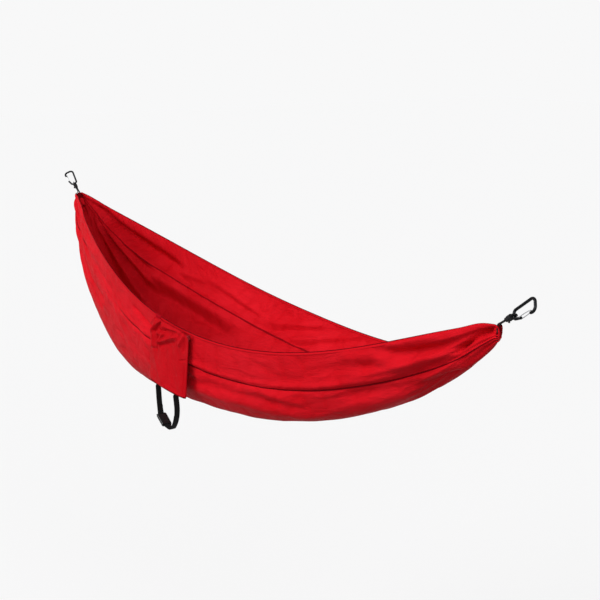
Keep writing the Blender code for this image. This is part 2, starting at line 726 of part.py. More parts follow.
def left_webbing(finish):
    left = STRAP_X - STRAP_HALF_SPREAD
    down_x = SOCKET_BAR[0] - WRAP_RADIUS
    span = LEG_TOP - SOCKET_BAR[1]
    leg = leg_start(left, 0.02)
    for share, bow in ((0.3, -0.0015), (0.55, -0.0020), (0.8, -0.0010)):
        leg.append((left + (down_x - left) * share + bow, LEG_TOP - span * share))
    wrap = arc(SOCKET_BAR, WRAP_RADIUS, 180, 360, 8)
    rise = [(down_x + LAYER + 0.0012, SOCKET_BAR[1] + 0.006), (down_x + LAYER, SOCKET_BAR[1] + 0.011)]
    slope = (down_x - left) / span
    for height in (0.020, 0.030):
        rise.append((down_x - slope * height + LAYER - 0.0006, SOCKET_BAR[1] + height))
    return ribbon("left_webbing", leg + wrap + rise, finish, rounded_start=True)


def right_webbing(finish):
    right = STRAP_X + STRAP_HALF_SPREAD
    dip = math.degrees(BUCKLE_DIP)
    leg = leg_start(right, 0.06)
    bend = [(right + 0.0045, LEG_TOP - 0.030), (right + 0.0070, LEG_TOP - 0.052),
            (right + 0.0045, LEG_TOP - 0.076), (right - 0.0040, LEG_TOP - 0.099),
            (right - 0.0180, LEG_TOP - 0.121), (right - 0.0360, LEG_TOP - 0.1365)]
    wrap = arc(PLUG_BAR, WRAP_RADIUS, -90 - dip, -270 - dip, 8)
    back = []
    for (x, z), (next_x, next_z) in zip(bend[:0:-1], bend[-2::-1]):
        run = math.hypot(next_x - x, next_z - z)
        back.append((x - (next_z - z) / run * LAYER, z + (next_x - x) / run * LAYER))
    return ribbon("right_webbing", leg + bend + wrap + back[:4], finish, rounded_start=True)


def base_webbing(finish):
    half = STRAP_HALF_SPREAD + BASE_WEB_OVERHANG
    level = BASE_BOTTOM - GAP - WEB_THICKNESS / 2
    path = [(STRAP_X + half * share, level) for share in (-1.0, 0.0, 1.0)]
    return ribbon("base_webbing", path, finish)


def block(bm, low, high):
    size = Vector(high) - Vector(low)
    middle = (Vector(high) + Vector(low)) / 2
    bmesh.ops.create_cube(bm, size=1.0, matrix=Matrix.Translation(middle) @ Matrix.Diagonal((*size, 1)))


def block_cutter(name, parent, low, high, finish):
    bm = bmesh.new()
    block(bm, low, high)
    cutter = mesh_object(name, bm, finish, smooth=False)
    cutter.parent = parent
    return cutter


def moulding(name, low, high, cuts, finish):
    """A buckle moulding in the buckle's own frame: a bevelled block with pockets."""
    bm = bmesh.new()
    block(bm, low, high)
    bmesh.ops.bevel(bm, geom=list(bm.edges), offset=0.0012, offset_type="OFFSET", segments=1,
                    profile=0.5, affect="EDGES", material=-1)
    piece = mesh_object(name, bm, finish, smooth=False)
    for number, (pocket_low, pocket_high) in enumerate(cuts):
        cut_away(piece, block_cutter(f"{name}_pocket_{number}", piece, pocket_low, pocket_high, finish))
    return piece


def place_on_buckle(piece):
    """The buckle's frame: origin on the socket's bar, +X towards the plug."""
    turn = Matrix.Rotation(BUCKLE_DIP, 4, "Y")
    piece.matrix_world = Matrix.Translation((SOCKET_BAR[0], BASE_Y, SOCKET_BAR[1])) @ turn
    return piece


SOCKET_MOUTH = BAR_OFFSET + SOCKET_LENGTH
CAVITY_HALF_WIDTH = BUCKLE_WIDTH / 2 - BUCKLE_WALL
CAVITY_HALF_THICKNESS = BUCKLE_THICKNESS / 2 - BUCKLE_WALL
WEB_SLOT_HALF_WIDTH = WEB_WIDTH / 2 + GAP


def buckle_socket(finish):
    past = 0.002
    half = BUCKLE_WIDTH / 2
    thick = BUCKLE_THICKNESS / 2
    rail = BAR_RADIUS
    window = SOCKET_MOUTH - CAVITY_DEPTH + 0.004
    slot = (BAR_RADIUS, BAR_OFFSET)
    cuts = [((slot[0], -WEB_SLOT_HALF_WIDTH, -thick - past), (slot[1], WEB_SLOT_HALF_WIDTH, thick + past)),
            ((SOCKET_MOUTH - CAVITY_DEPTH, -CAVITY_HALF_WIDTH, -CAVITY_HALF_THICKNESS),
             (SOCKET_MOUTH + past, CAVITY_HALF_WIDTH, CAVITY_HALF_THICKNESS)),
            ((window, -half - past, -CAVITY_HALF_THICKNESS + 0.0004),
             (window + WINDOW_LENGTH, half + past, CAVITY_HALF_THICKNESS - 0.0004)),
            ((-rail - past, -half - past, rail), (BAR_OFFSET, half + past, thick + past)),
            ((-rail - past, -half - past, -thick - past), (BAR_OFFSET, half + past, -rail))]
    socket = moulding("buckle_socket", (-BAR_RADIUS, -half, -thick), (SOCKET_MOUTH, half, thick), cuts, finish)
    return place_on_buckle(socket)


def buckle_plug(finish):
    past = 0.002
    half = BUCKLE_WIDTH / 2
    thick = BUCKLE_THICKNESS / 2
    start = SOCKET_MOUTH + GAP
    wall = start + PLUG_LENGTH
    bar = wall + BAR_OFFSET
    cuts = [((wall, -WEB_SLOT_HALF_WIDTH, -thick - past), (bar - BAR_RADIUS, WEB_SLOT_HALF_WIDTH, thick + past)),
            ((wall, -half - past, BAR_RADIUS), (bar + BAR_RADIUS + past, half + past, thick + past)),
            ((wall, -half - past, -thick - past), (bar + BAR_RADIUS + past, half + past, -BAR_RADIUS))]
    plug = moulding("buckle_plug", (start, -half, -thick), (bar + BAR_RADIUS, half, thick), cuts, finish)
    return place_on_buckle(plug)


def prong_pivot():
    """Root of the rear prong, in the buckle's frame."""
    return Vector((SOCKET_MOUTH, CAVITY_HALF_WIDTH - PRONG_WIDTH, 0.0))


def prong(name, sign, finish):
    """A springy arm of the plug, whose barb stands in the socket's side window."""
    thick = CAVITY_HALF_THICKNESS - PRONG_CLEARANCE
    width = PRONG_WIDTH
    outer = width - PRONG_CLEARANCE
    barb_end = SOCKET_MOUTH - CAVITY_DEPTH + 0.004 + WINDOW_LENGTH - PRONG_CLEARANCE
    root = prong_pivot()
    barb = barb_end - root.x
    tip = -PRONG_LENGTH
    outline = [(0.0, outer), (barb, outer), (barb, outer + PRONG_BARB), (barb - 0.003, outer + PRONG_BARB),
               (tip, outer - 0.001), (tip, outer - width * 0.7), (barb, outer - width), (0.0, outer - width)]
    bm = bmesh.new()
    corners = [bm.verts.new((x, sign * y, -thick)) for x, y in outline]
    face = bm.faces.new(corners)
    grown = bmesh.ops.extrude_face_region(bm, geom=[face])["geom"]
    verts = [item for item in grown if isinstance(item, bmesh.types.BMVert)]
    bmesh.ops.translate(bm, vec=(0, 0, 2 * thick), verts=verts)
    piece = mesh_object(name, bm, finish, smooth=False)
    place_on_buckle(piece)
    piece.matrix_world = piece.matrix_world @ Matrix.Translation((root.x, sign * root.y, 0.0))
    return piece


def build():
    for old in list(bpy.data.objects):
        bpy.data.objects.remove(old, do_unlink=True)

    red = material("red nylon", (0.62, 0.012, 0.022), 0.45)
    deep_red = material("deep red nylon", (0.52, 0.010, 0.018), 0.50)
    red_cord = material("red cord", (0.50, 0.012, 0.020), 0.75)
    black_rope = material("black rope", (0.020, 0.020, 0.022), 0.80)
    black_web = material("black webbing", (0.016, 0.016, 0.017), 0.85)
    anodised = material("black anodised aluminium", (0.030, 0.032, 0.034), 0.35, 1.0)
    steel = material("bright steel wire", (0.70, 0.71, 0.72), 0.28, 1.0)
    plastic = material("black moulded plastic", (0.018, 0.018, 0.019), 0.45)

    panel("centre_panel", centre_edges, 20, CENTRE_FOLDS, red)
    panel("front_side_panel", front_edges, 10, FRONT_FOLDS, red)
    panel("rear_side_panel", rear_edges, 8, REAR_FOLDS, red)

    for end, side in (("far", -1), ("near", 1)):
        sleeve(end + "_end_sleeve", side, deep_red)
        rope(end + "_rope", side, black_rope)
        knot(end + "_rope_knot", side, black_rope)
        body = carabiner(end + "_carabiner_body", side, anodised)
        gate(end + "_carabiner_gate", body, steel)

    sack_tab(deep_red)
    sack_collar(red)
    drawcord(red_cord)
    drawcord_knot(red_cord)
    sack_body(red)
    sack_base(deep_red)
    base_webbing(black_web)

    left_webbing(black_web)
    right_webbing(black_web)
    buckle_socket(plastic)
    buckle_plug(plastic)
    prong("front_buckle_prong", -1, plastic)
    prong("rear_buckle_prong", 1, plastic)


build()
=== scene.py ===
# %% [markdown]
# # A gathered-end camping hammock of parachute cloth
# Everything is in metres, in the frame's own coordinates, so a piece goes exactly where
# the frame says. The camera and the light come first, then the finishes, and then the
# pieces, from the bed down to the buckle.

# %% Load the frame
import bisect
import math

import bmesh
import bpy
from mathutils import Matrix, Vector, noise


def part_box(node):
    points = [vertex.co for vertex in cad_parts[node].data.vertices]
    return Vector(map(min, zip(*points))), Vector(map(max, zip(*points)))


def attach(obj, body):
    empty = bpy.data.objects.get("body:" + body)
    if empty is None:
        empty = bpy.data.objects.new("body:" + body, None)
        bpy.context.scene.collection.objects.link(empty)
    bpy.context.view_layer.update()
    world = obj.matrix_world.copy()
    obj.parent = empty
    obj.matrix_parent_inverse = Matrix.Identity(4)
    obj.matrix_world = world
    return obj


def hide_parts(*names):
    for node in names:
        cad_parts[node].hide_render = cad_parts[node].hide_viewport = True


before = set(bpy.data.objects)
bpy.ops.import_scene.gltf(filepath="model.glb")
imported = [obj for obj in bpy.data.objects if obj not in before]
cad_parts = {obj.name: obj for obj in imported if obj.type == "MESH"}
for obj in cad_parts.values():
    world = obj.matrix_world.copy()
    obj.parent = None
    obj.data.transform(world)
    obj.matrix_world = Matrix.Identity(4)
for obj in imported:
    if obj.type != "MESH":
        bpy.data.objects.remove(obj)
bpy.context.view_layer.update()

# %% [markdown]
# ## The named sizes
# A scripted model is easier to trust when each size has a name. These are the sizes of
# the frame's source, so that the cloth we lay over the solids has the same run. The bed
# is a trough between two gathered ends, whose rims hang in two different curves. The
# far end lies at negative x and the near end at positive x.

# %% Sizes of the bed
HALF_SPAN = 1.294
CLOTH = 0.0012
END_HALF_WIDTH = 0.0078
END_DEPTH = 0.040
FRONT_OUT = 0.227                # how far the front rim bows outwards in the middle
FRONT_DROP = 0.245               # how far it hangs below the ends
FRONT_BELLY = 0.024
REAR_OUT = 0.350
REAR_DROP = 0.313
BED_DEPTH = 0.519
FRONT_FULLNESS = 3.39            # 2 is an ellipse, and more is squarer
REAR_FULLNESS = 1.70
END_FULLNESS = 2.60
FRONT_SEAM = 0.115               # width of the front breadth in the open bed
FRONT_SEAM_SHARE = 0.365         # and its share of the cloth where that is gathered
REAR_SEAM = 0.1525
REAR_SEAM_SHARE = 0.194
FOLD_SLOPE = 0.20
FOLD_FADE = 6.0
print("the bed spans", 2 * HALF_SPAN, "m and hangs", END_DEPTH + BED_DEPTH, "m deep")

# %% Sizes of the ropes and carabiners
ROPE_SLOPE = math.radians(34)
ROPE_RADIUS = 0.00225
SLEEVE_X = HALF_SPAN + 0.0048
SLEEVE_LIP = 0.003
ROPE_REACH = 0.062
KNOT_LENGTH = 0.018
CARABINER_LENGTH = 0.084
ROD_DIAMETER = 0.0075
SEAT_REACH = (ROPE_REACH + CARABINER_LENGTH - ROD_DIAMETER
              - ROD_DIAMETER / 2 * math.cos(math.pi / 8))
END_Z = -SEAT_REACH * math.sin(ROPE_SLOPE)
ENDS = (("far", -1), ("near", 1))
print("gathered ends at z", round(END_Z, 4))

# %% [markdown]
# ## Camera
# The photograph was taken from above the near end, with a lens a little longer than
# normal. A camera could be aimed by eye, but its place and two angles as named values
# are easier to correct one at a time. The lens is given for Blender's 36 mm sensor.

# %% Camera
CAMERA_PLACE = Vector((3.0164, -1.7034, 0.5841))
CAMERA_YAW = 0.985
CAMERA_PITCH = 0.2469
CAMERA_LENS = 62.637

camera_data = bpy.data.cameras.new("camera")
camera_data.lens = CAMERA_LENS
camera_data.clip_end = 100
camera = bpy.data.objects.new("camera", camera_data)
camera.location = CAMERA_PLACE
camera.rotation_euler = (math.pi / 2 - CAMERA_PITCH, 0.0, CAMERA_YAW)
bpy.context.scene.collection.objects.link(camera)
bpy.context.scene.camera = camera
print("camera at", tuple(round(value, 3) for value in camera.location))

# %% [markdown]
# ## A notation for shader nodes
# Linking sockets one by one hides what a material does. A shader graph is a formula, so
# we let Python write it as one. A `Signal` holds one output of a node, and its operators
# add the Math or Vector Math nodes for us. The reflected forms let a plain number stand
# on the left, as in `1 - weave`. A `Finish` is a material that such formulas feed.

# %% Signal
class Signal:
    """One output of a shader node, on which sums can be written."""

    def __init__(self, tree, socket=None):
        self.tree = tree
        self.socket = socket

    def node(self, kind, settings=None, out=0, **inputs):
        """Adds any other node: its settings first, then its inputs by name or number."""
        made = self.tree.nodes.new(kind)
        for name, value in (settings or {}).items():
            setattr(made, name, value)
        for name, value in inputs.items():
            key = int(name[1:]) if name[0] == "n" and name[1:].isdigit() else name.replace("_", " ")
            self.feed(made.inputs[key], value)
        return Signal(self.tree, made.outputs[out])

    def feed(self, target, value):
        if isinstance(value, Signal):
            self.tree.links.new(value.socket, target)
        elif value is not None:
            target.default_value = value

    def math(self, operation, *others):
        if self.socket.type in {"VECTOR", "RGBA"}:
            made = self.tree.nodes.new("ShaderNodeVectorMath")
            others = [(value,) * 3 if isinstance(value, (int, float)) else value for value in others]
        else:
            made = self.tree.nodes.new("ShaderNodeMath")
        made.operation = operation
        for target, value in zip(made.inputs, (self, *others)):
            self.feed(target, value)
        return Signal(self.tree, made.outputs[0])

    def constant(self, value):
        return self.node("ShaderNodeMath", {"operation": "ADD"}, n0=float(value), n1=0.0)

    def __add__(self, other):
        return self.math("ADD", other)

    __radd__ = __add__

    def __sub__(self, other):
        return self.math("SUBTRACT", other)

    def __rsub__(self, other):
        return self.math("MULTIPLY", -1.0).math("ADD", other)

    def __mul__(self, other):
        return self.math("MULTIPLY", other)

    __rmul__ = __mul__

    def __truediv__(self, other):
        return self.math("DIVIDE", other)

    def __rtruediv__(self, other):
        return self.constant(other).math("DIVIDE", self)

    def __lt__(self, other):
        return self.math("LESS_THAN", other)

    def __gt__(self, other):
        return self.math("GREATER_THAN", other)

    def wave(self, pitch):
        """A smooth ripple from 0 to 1 that repeats at every pitch, in metres."""
        return (self * (2 * math.pi / pitch)).math("SINE") * 0.5 + 0.5

    def smooth(self, low, high):
        """0 below the low value and 1 above the high one, with a soft step between."""
        return self.node("ShaderNodeMapRange", {"interpolation_type": "SMOOTHSTEP"},
                         Value=self, From_Min=low, From_Max=high)

    def mix(self, dark, light):
        """Blends two colours by this signal."""
        return self.node("ShaderNodeMix", {"data_type": "RGBA"}, 2, n0=self,
                         n6=dark if isinstance(dark, Signal) else (*dark, 1.0),
                         n7=light if isinstance(light, Signal) else (*light, 1.0))

    def split(self):
        """The three parts of a vector."""
        made = self.tree.nodes.new("ShaderNodeSeparateXYZ")
        self.feed(made.inputs[0], self)
        return [Signal(self.tree, out) for out in made.outputs]


# %% Finish
class Finish:
    """A material with a Principled BSDF, and the signals that its formula starts from."""

    def __init__(self, name, **constants):
        self.material = bpy.data.materials.new(name)
        self.material.use_nodes = True
        self.tree = self.material.node_tree
        self.shader = self.tree.nodes["Principled BSDF"]
        self.start = Signal(self.tree)
        for socket, value in constants.items():
            self.shader.inputs[socket.replace("_", " ")].default_value = value

    def place(self):
        """Object coordinates, in metres."""
        return self.start.node("ShaderNodeTexCoord", out=3)

    def along_and_across(self, layer="run"):
        """The piece's own UV map, which holds metres along and across the cloth."""
        return self.start.node("ShaderNodeUVMap", {"uv_map": layer})

    def give(self, socket, signal):
        self.tree.links.new(signal.socket, self.shader.inputs[socket])

    def relief(self, height, distance):
        """Turns a height signal into shading, with its real depth in metres."""
        self.give("Normal", self.start.node("ShaderNodeBump", Height=height, Distance=distance))


# %% [markdown]
# ## Light, floor and backdrop
# A product photograph has one broad light, a bright room that fills the shadows, and a
# pale background. Area lamps would do too, but they leave a pool of light on the floor.
# A sun with a wide angle lights it evenly, so floor and world can meet without a line.
# The camera sees both a little brighter than they light the hammock, which Light Path
# does without adding light.

# %% Light
BACKDROP = (0.938, 0.938, 0.940)
ROOM_LIGHT = 0.37
ROOM_IN_GLOSS = 0.25
KEY_LIGHT = 2.60
KEY_FROM = Vector((-0.18, -0.78, 0.60))
FILL_LIGHT = 0.95
FILL_FROM = Vector((0.75, -0.42, 0.50))
SUN_SPREAD = math.radians(45)
FLOOR_Z = -2.6
FLOOR_HALF_SIZE = 40.0
FLOOR_PAPER = (0.36, 0.36, 0.36)
FLOOR_GLOW = (0.578, 0.578, 0.580)
FLOOR_IN_GLOSS = 0.3


def seen_directly(tree, gloss_share):
    """1 for what the camera sees itself or through glass, and a share in reflections."""
    path = tree.nodes.new("ShaderNodeLightPath")
    by_eye, in_gloss, through = [Signal(tree, path.outputs[name]) for name in
                                 ("Is Camera Ray", "Is Glossy Ray", "Is Transmission Ray")]
    return (by_eye + in_gloss * gloss_share + through).math("MINIMUM", 1.0)


world = bpy.data.worlds.new("studio")
world.use_nodes = True
bpy.context.scene.world = world
brightness = seen_directly(world.node_tree, ROOM_IN_GLOSS) * (1 - ROOM_LIGHT) + ROOM_LIGHT
background = world.node_tree.nodes["Background"]
background.inputs["Color"].default_value = (*BACKDROP, 1.0)
world.node_tree.links.new(brightness.socket, background.inputs["Strength"])


def soft_sun(name, energy, comes_from):
    lamp = bpy.data.lights.new(name, "SUN")
    lamp.energy = energy
    lamp.angle = SUN_SPREAD
    made = bpy.data.objects.new(name, lamp)
    made.rotation_euler = comes_from.to_track_quat("Z", "Y").to_euler()
    bpy.context.scene.collection.objects.link(made)


soft_sun("key", KEY_LIGHT, KEY_FROM)
soft_sun("fill over the rim", FILL_LIGHT, FILL_FROM)
bpy.context.scene.view_settings.view_transform = "Standard"
print("suns of", KEY_LIGHT, "and", FILL_LIGHT, "in a room of", ROOM_LIGHT)

# %% Floor
floor_mesh = bpy.data.meshes.new("floor")
bm = bmesh.new()
bmesh.ops.create_grid(bm, x_segments=1, y_segments=1, size=FLOOR_HALF_SIZE,
                      matrix=Matrix.Translation((0, 0, FLOOR_Z)))
bm.to_mesh(floor_mesh)
bm.free()
floor = bpy.data.objects.new("floor", floor_mesh)
bpy.context.scene.collection.objects.link(floor)
paper = Finish("pale floor", Roughness=0.95, Specular_IOR_Level=0.0, Emission_Strength=1.0)
paper.shader.inputs["Base Color"].default_value = (*FLOOR_PAPER, 1.0)
paper.give("Emission Color", seen_directly(paper.tree, FLOOR_IN_GLOSS).mix((0.0, 0.0, 0.0), FLOOR_GLOW))
floor_mesh.materials.append(paper.material)
print("floor at z", FLOOR_Z)

# %% [markdown]
# ## Finishes
# Parachute nylon is a tight plain weave, so from a step away it reads as smooth cloth
# with a broad, soft shine. What gives it away are the creases from being stuffed into
# its sack. The long folds are in the mesh, but creases a few millimetres wide would need
# millions of faces. So the finish gets a slow noise for the crumple, a cell pattern for
# the sharp creases, and a very fine weave that only shows close up.

# %% Parachute nylon
RED = (0.665, 0.0095, 0.0185)
RED_SHADE = (0.570, 0.0048, 0.0105)
SACK_RED = (0.500, 0.0050, 0.0105)
SACK_RED_SHADE = (0.430, 0.0032, 0.0075)
# painted shade for the tips of the gathered noses
PAINTED_TIP_SHADE = (0.110, 0.0012, 0.0030)
WEAVE_PITCH = 0.0007
BED_CREASES = 0.0060
SACK_CREASES = 0.0028


def nylon(name, light, shade, crease_depth, gloss=0.42, painted_shade_from=None):
    """Parachute cloth whose pattern follows its own run; painted shade darkens its creases, and its tip past
    a given x.
    """
    finish = Finish(name, Roughness=gloss, IOR=1.06)
    run = finish.along_and_across()
    along, across, _ = run.split()
    crumple = run.node("ShaderNodeTexNoise", Vector=run, Scale=9.0, Detail=5.0, Roughness=0.55,
                       Distortion=0.5)
    cells = run.node("ShaderNodeTexVoronoi", {"feature": "DISTANCE_TO_EDGE"},
                     Vector=run + crumple * 0.02, Scale=10.0)
    sharp = cells.smooth(0.0, 0.16)
    pulled = run.node("ShaderNodeTexNoise", Vector=run * (0.40, 1.5, 1.0), Scale=15.0, Detail=6.0,
                      Roughness=0.62, Distortion=1.4)
    weave = along.wave(WEAVE_PITCH) * across.wave(WEAVE_PITCH)
    finish.relief(crumple + pulled * 1.3 + sharp * 0.30 + weave * 0.05, crease_depth)
    patch = run.node("ShaderNodeTexNoise", Vector=run, Scale=3.5, Detail=3.0)
    # the tone differs at random in patches, and is painted darker along the sharp creases as shade
    tone_and_crease_shade = patch.smooth(0.35, 0.65) * 0.7 + sharp * 0.3
    colour = tone_and_crease_shade.mix(shade, light)
    # the nose's tip is painted dark as shade, from the given x outwards
    if painted_shade_from:
        tip_shade_mask = finish.place().split()[0].math("ABSOLUTE").smooth(painted_shade_from, painted_shade_from + 0.0035)
        colour = tip_shade_mask.mix(colour, PAINTED_TIP_SHADE)
    finish.give("Base Color", colour)
    finish.give("Roughness", patch * 0.12 + (gloss - 0.06))
    return finish


bed_nylon = nylon("red parachute nylon", RED, RED_SHADE, BED_CREASES)
sack_nylon = nylon("red sack nylon", SACK_RED, SACK_RED_SHADE, SACK_CREASES)
print("nylon finishes", bed_nylon.material.name, sack_nylon.material.name)

# %% [markdown]
# ## Hem and seam tape
# The rims are folded over twice and sewn, and each long seam is felled, which means
# that both edges are turned into each other and sewn flat with two rows. The rows are
# dashes drawn by the material, because a thousand modelled stitches would weigh more
# than the whole bed.

# %% Hem finish
STITCH_PITCH = 0.0032
STITCH_LENGTH = 0.0022
STITCH_WIDTH = 0.0005
THREAD_RED = (0.36, 0.008, 0.016)
# painted shade for a hem's folded edge
FOLD_SHADE_RED = (0.120, 0.0016, 0.0042)
TAB_REDS = (0.50, 0.0040, 0.0100), (0.300, 0.0015, 0.0080)
# the seam tapes are painted dark, as the shadow line along each seam
FRONT_SEAM_SHADOW_REDS = (0.17, 0.0015, 0.0040), (0.10, 0.0010, 0.0030)
REAR_SEAM_SHADOW_REDS = (0.30, 0.0020, 0.0060), (0.20, 0.0012, 0.0040)
FOLD_BLUR = 0.0007
HEM_ROW = 0.0026                 # the stitches' way from the middle of the hem
FRONT_HEM_FOLD = 0.0028          # and where its painted fold shade begins
REAR_HEM_FOLD = 0.0026
SEAM_ROWS = (-0.0020, 0.0020)
TAB_ROW = 0.0030


def stitched(name, light, shade, rows, edge=None):
    """A narrow band of doubled cloth with rows of stitches, painted shade in its puckers, and a fold painted
    dark past an edge.
    """
    finish = Finish(name, Roughness=0.55, IOR=1.06)
    along, across, _ = finish.along_and_across().split()
    dash = (along / STITCH_PITCH).math("FRACT") < STITCH_LENGTH / STITCH_PITCH
    thread = None
    for row in rows:
        line = (across - row).math("ABSOLUTE") < STITCH_WIDTH
        thread = line * dash if thread is None else thread + line * dash
    pucker = along.wave(0.009) * 0.6 + along.wave(0.0137) * 0.4
    weave = along.wave(WEAVE_PITCH) * across.wave(WEAVE_PITCH)
    finish.relief(pucker * 0.5 + weave * 0.08 + thread * 0.6, 0.0008)
    # the colour is painted darker in the pucker's hollows, as shade
    cloth = (pucker * 0.6).mix(shade, light)
    if edge:
        # past the edge the fold is painted dark, as shade
        fold_shade_mask = (across * math.copysign(1.0, edge)).smooth(abs(edge) - FOLD_BLUR, abs(edge))
        cloth = fold_shade_mask.mix(cloth, FOLD_SHADE_RED)
    finish.give("Base Color", thread.mix(cloth, THREAD_RED))
    return finish


tab_tape = stitched("tab tape", *TAB_REDS, (-TAB_ROW,))
front_hem = stitched("front hem", RED, RED_SHADE, (-HEM_ROW,), FRONT_HEM_FOLD)
rear_hem = stitched("rear hem", RED, RED_SHADE, (HEM_ROW,), -REAR_HEM_FOLD)
seam_shadow_tape = stitched("felled seam", *FRONT_SEAM_SHADOW_REDS, SEAM_ROWS)
rear_seam_shadow_tape = stitched("rear felled seam", *REAR_SEAM_SHADOW_REDS, SEAM_ROWS)
print("stitched finishes", [made.material.name for made in
                            (tab_tape, front_hem, rear_hem, seam_shadow_tape, rear_seam_shadow_tape)])

# %% [markdown]
# ## The run of the bed
# A grid could be pulled into a bed by hand, but then every hem and seam would have to be
# pulled after it. Here the bed is one surface that all of them ask: at each place along
# it we know the cross-section, and on that section we can walk along the cloth from the
# front rim. A section is two quarters of a squarish ellipse, which meet at the bottom.

# %% Outline of a section
SECTION_STEPS = 90
# each size's run along the bed: the power of its hump, how round that is and its lean
FRONT_OUT_RUN = (1.905, 1.03, -0.12)
FRONT_DROP_RUN = (2.06, 1.36, 0.45)
REAR_OUT_RUN = (2.82, 1.0, -0.066)
REAR_DROP_RUN = (2.55, 1.0, 0.08)
DEPTH_RUN = (3.28, 1.0, -0.30)
GATHER_POWER = 12


def lengthwise(u, power, roundness, lean):
    """A hump along the bed: 0 at both ends, about 1 in the middle."""
    return (1 - abs(u) ** power) ** roundness * (1 + lean * u)


def section_outline(u):
    """Points (y, z) of the cloth across the bed, from the front rim to the rear rim."""
    front_out = END_HALF_WIDTH + FRONT_OUT * lengthwise(u, *FRONT_OUT_RUN)
    front_drop = FRONT_DROP * lengthwise(u, *FRONT_DROP_RUN)
    rear_out = END_HALF_WIDTH + REAR_OUT * lengthwise(u, *REAR_OUT_RUN)
    rear_drop = REAR_DROP * lengthwise(u, *REAR_DROP_RUN)
    depth = END_DEPTH + BED_DEPTH * lengthwise(u, *DEPTH_RUN)
    gathered = abs(u) ** GATHER_POWER
    belly = FRONT_BELLY * 4 * abs(u) ** 6 * (1 - abs(u) ** 6) * (1 - u) / 2
    outline = []
    for step in range(SECTION_STEPS + 1):
        turn = math.pi / 2 * step / SECTION_STEPS
        power = 2 / (FRONT_FULLNESS + (END_FULLNESS - FRONT_FULLNESS) * gathered)
        outline.append((-front_out * max(math.cos(turn), 0.0) ** power - belly * math.sin(2 * turn),
                        -front_drop - (depth - front_drop) * math.sin(turn) ** power))
    for step in range(SECTION_STEPS - 1, -1, -1):
        turn = math.pi / 2 * step / SECTION_STEPS
        power = 2 / (REAR_FULLNESS + (END_FULLNESS - REAR_FULLNESS) * gathered)
        outline.append((rear_out * math.cos(turn) ** power,
                        -rear_drop - (depth - rear_drop) * math.sin(turn) ** power))
    return outline


print("the outline has", len(section_outline(0.0)), "points")


# %% Sections measured along the cloth
class Section:
    """One cross-section of the bed, measured along the cloth from the front rim."""

    kept = {}

    def __init__(self, u):
        self.points = [Vector((0.0, y, END_Z + z)) for y, z in section_outline(u)]
        self.arc = [0.0]
        for before, after in zip(self.points, self.points[1:]):
            self.arc.append(self.arc[-1] + (after - before).length)
        self.length = self.arc[-1]
        self.front_seam = seam_distance(self.length, FRONT_SEAM, FRONT_SEAM_SHARE)
        self.rear_seam = self.length - seam_distance(self.length, REAR_SEAM, REAR_SEAM_SHARE)

    @classmethod
    def at(cls, x):
        u = round(max(-1.0, min(1.0, x / HALF_SPAN)), 6)
        if u not in cls.kept:
            cls.kept[u] = cls(u)
        return cls.kept[u]

    def point(self, distance):
        """The point at this distance from the front rim, and the outward normal there."""
        index = bisect.bisect_right(self.arc, max(0.0, min(self.length, distance))) - 1
        index = max(0, min(len(self.arc) - 2, index))
        start = self.points[index]
        step = self.points[index + 1] - start
        share = (distance - self.arc[index]) / step.length
        wide = self.points[min(index + 2, len(self.points) - 1)] - self.points[max(index - 1, 0)]
        return start + step * share, Vector((0.0, wide.z, -wide.y)).normalized()


def seam_distance(length, width, share):
    """Full panel width in the open bed, a share of the cloth where it is gathered."""
    return (width ** -4 + (share * length) ** -4) ** -0.25


middle = Section.at(0.0)
print("cloth across the middle", round(middle.length, 4), "m, seams at",
      round(middle.front_seam, 4), round(middle.rear_seam, 4))

# %% [markdown]
# ## Folds
# A gathered end squeezes a metre of cloth into a hand's breadth, so folds fan out from
# it and die away towards the middle, where the cloth is pulled smooth. A cloth
# simulation would find folds of its own, but not the ones that this bed took when it
# was hung. So we say how far the cloth stands off its plain run at any place: the broad
# folds of the solids, the small gathers at the rope, long soft streaks, a groove along
# each seam, and then the photograph's own folds, one by one.

# %% Sizes of the folds
CENTRE_FOLDS, FRONT_FOLDS, REAR_FOLDS = 4, 2, 1
GATHER_COUNT = 15
GATHER_HEIGHT = 0.0011
STREAK_HEIGHT = 0.0105
STREAKS_ACROSS = 13.0
STREAKS_RISE = 0.10              # how far from the end they reach their height
STREAKS_FADE = 0.55
CRUMPLE_HEIGHT = 0.0034
WRINKLE_HEIGHT = 0.0075
SEAM_GROOVE = 0.0060
SEAM_GROOVE_WIDTH = 0.008
SEAM_LAP = 0.0050
GROOVE_FADE = 0.25
SEAM_LAP_AT = (0.012, 0.010)     # how far before the seam the cloth laps, and how widely
RIM_STEEPNESS = 9
GATHER_REACH = 0.09
END_STIFFNESS = 0.05
DEEPEST_LIFT = -0.0030
# the cloth stands off a little behind each tip: how far, then where and how widely
NEAR_POUCH, NEAR_POUCH_AT = 0.007, (0.045, 0.040)
FAR_POUCH, FAR_POUCH_AT = 0.008, (0.022, 0.034)
TIP_HUMP, TIP_HUMP_AT = 0.005, (0.040, 0.034)
TIP_REACH = 0.0125
TIP_CLOSING = 0.93
# where the cloth is pulled smooth, along the section and along the bed
FAR_CALM_SHARE, FAR_CALM_X = (0.36, 0.20), (-1.12, 0.16)
BELLY_CALM_SHARE = (0.42, 0.20)
print("broad folds", CENTRE_FOLDS + FRONT_FOLDS + REAR_FOLDS, "and gathers", GATHER_COUNT)


# %% Broad folds, streaks and crumple
def bump(value, centre, width):
    """A bell curve of height 1."""
    return math.exp(-((value - centre) / width) ** 2)


def eased(share):
    """A share from 0 to 1 that starts and stops softly."""
    return share * share * (3 - 2 * share)


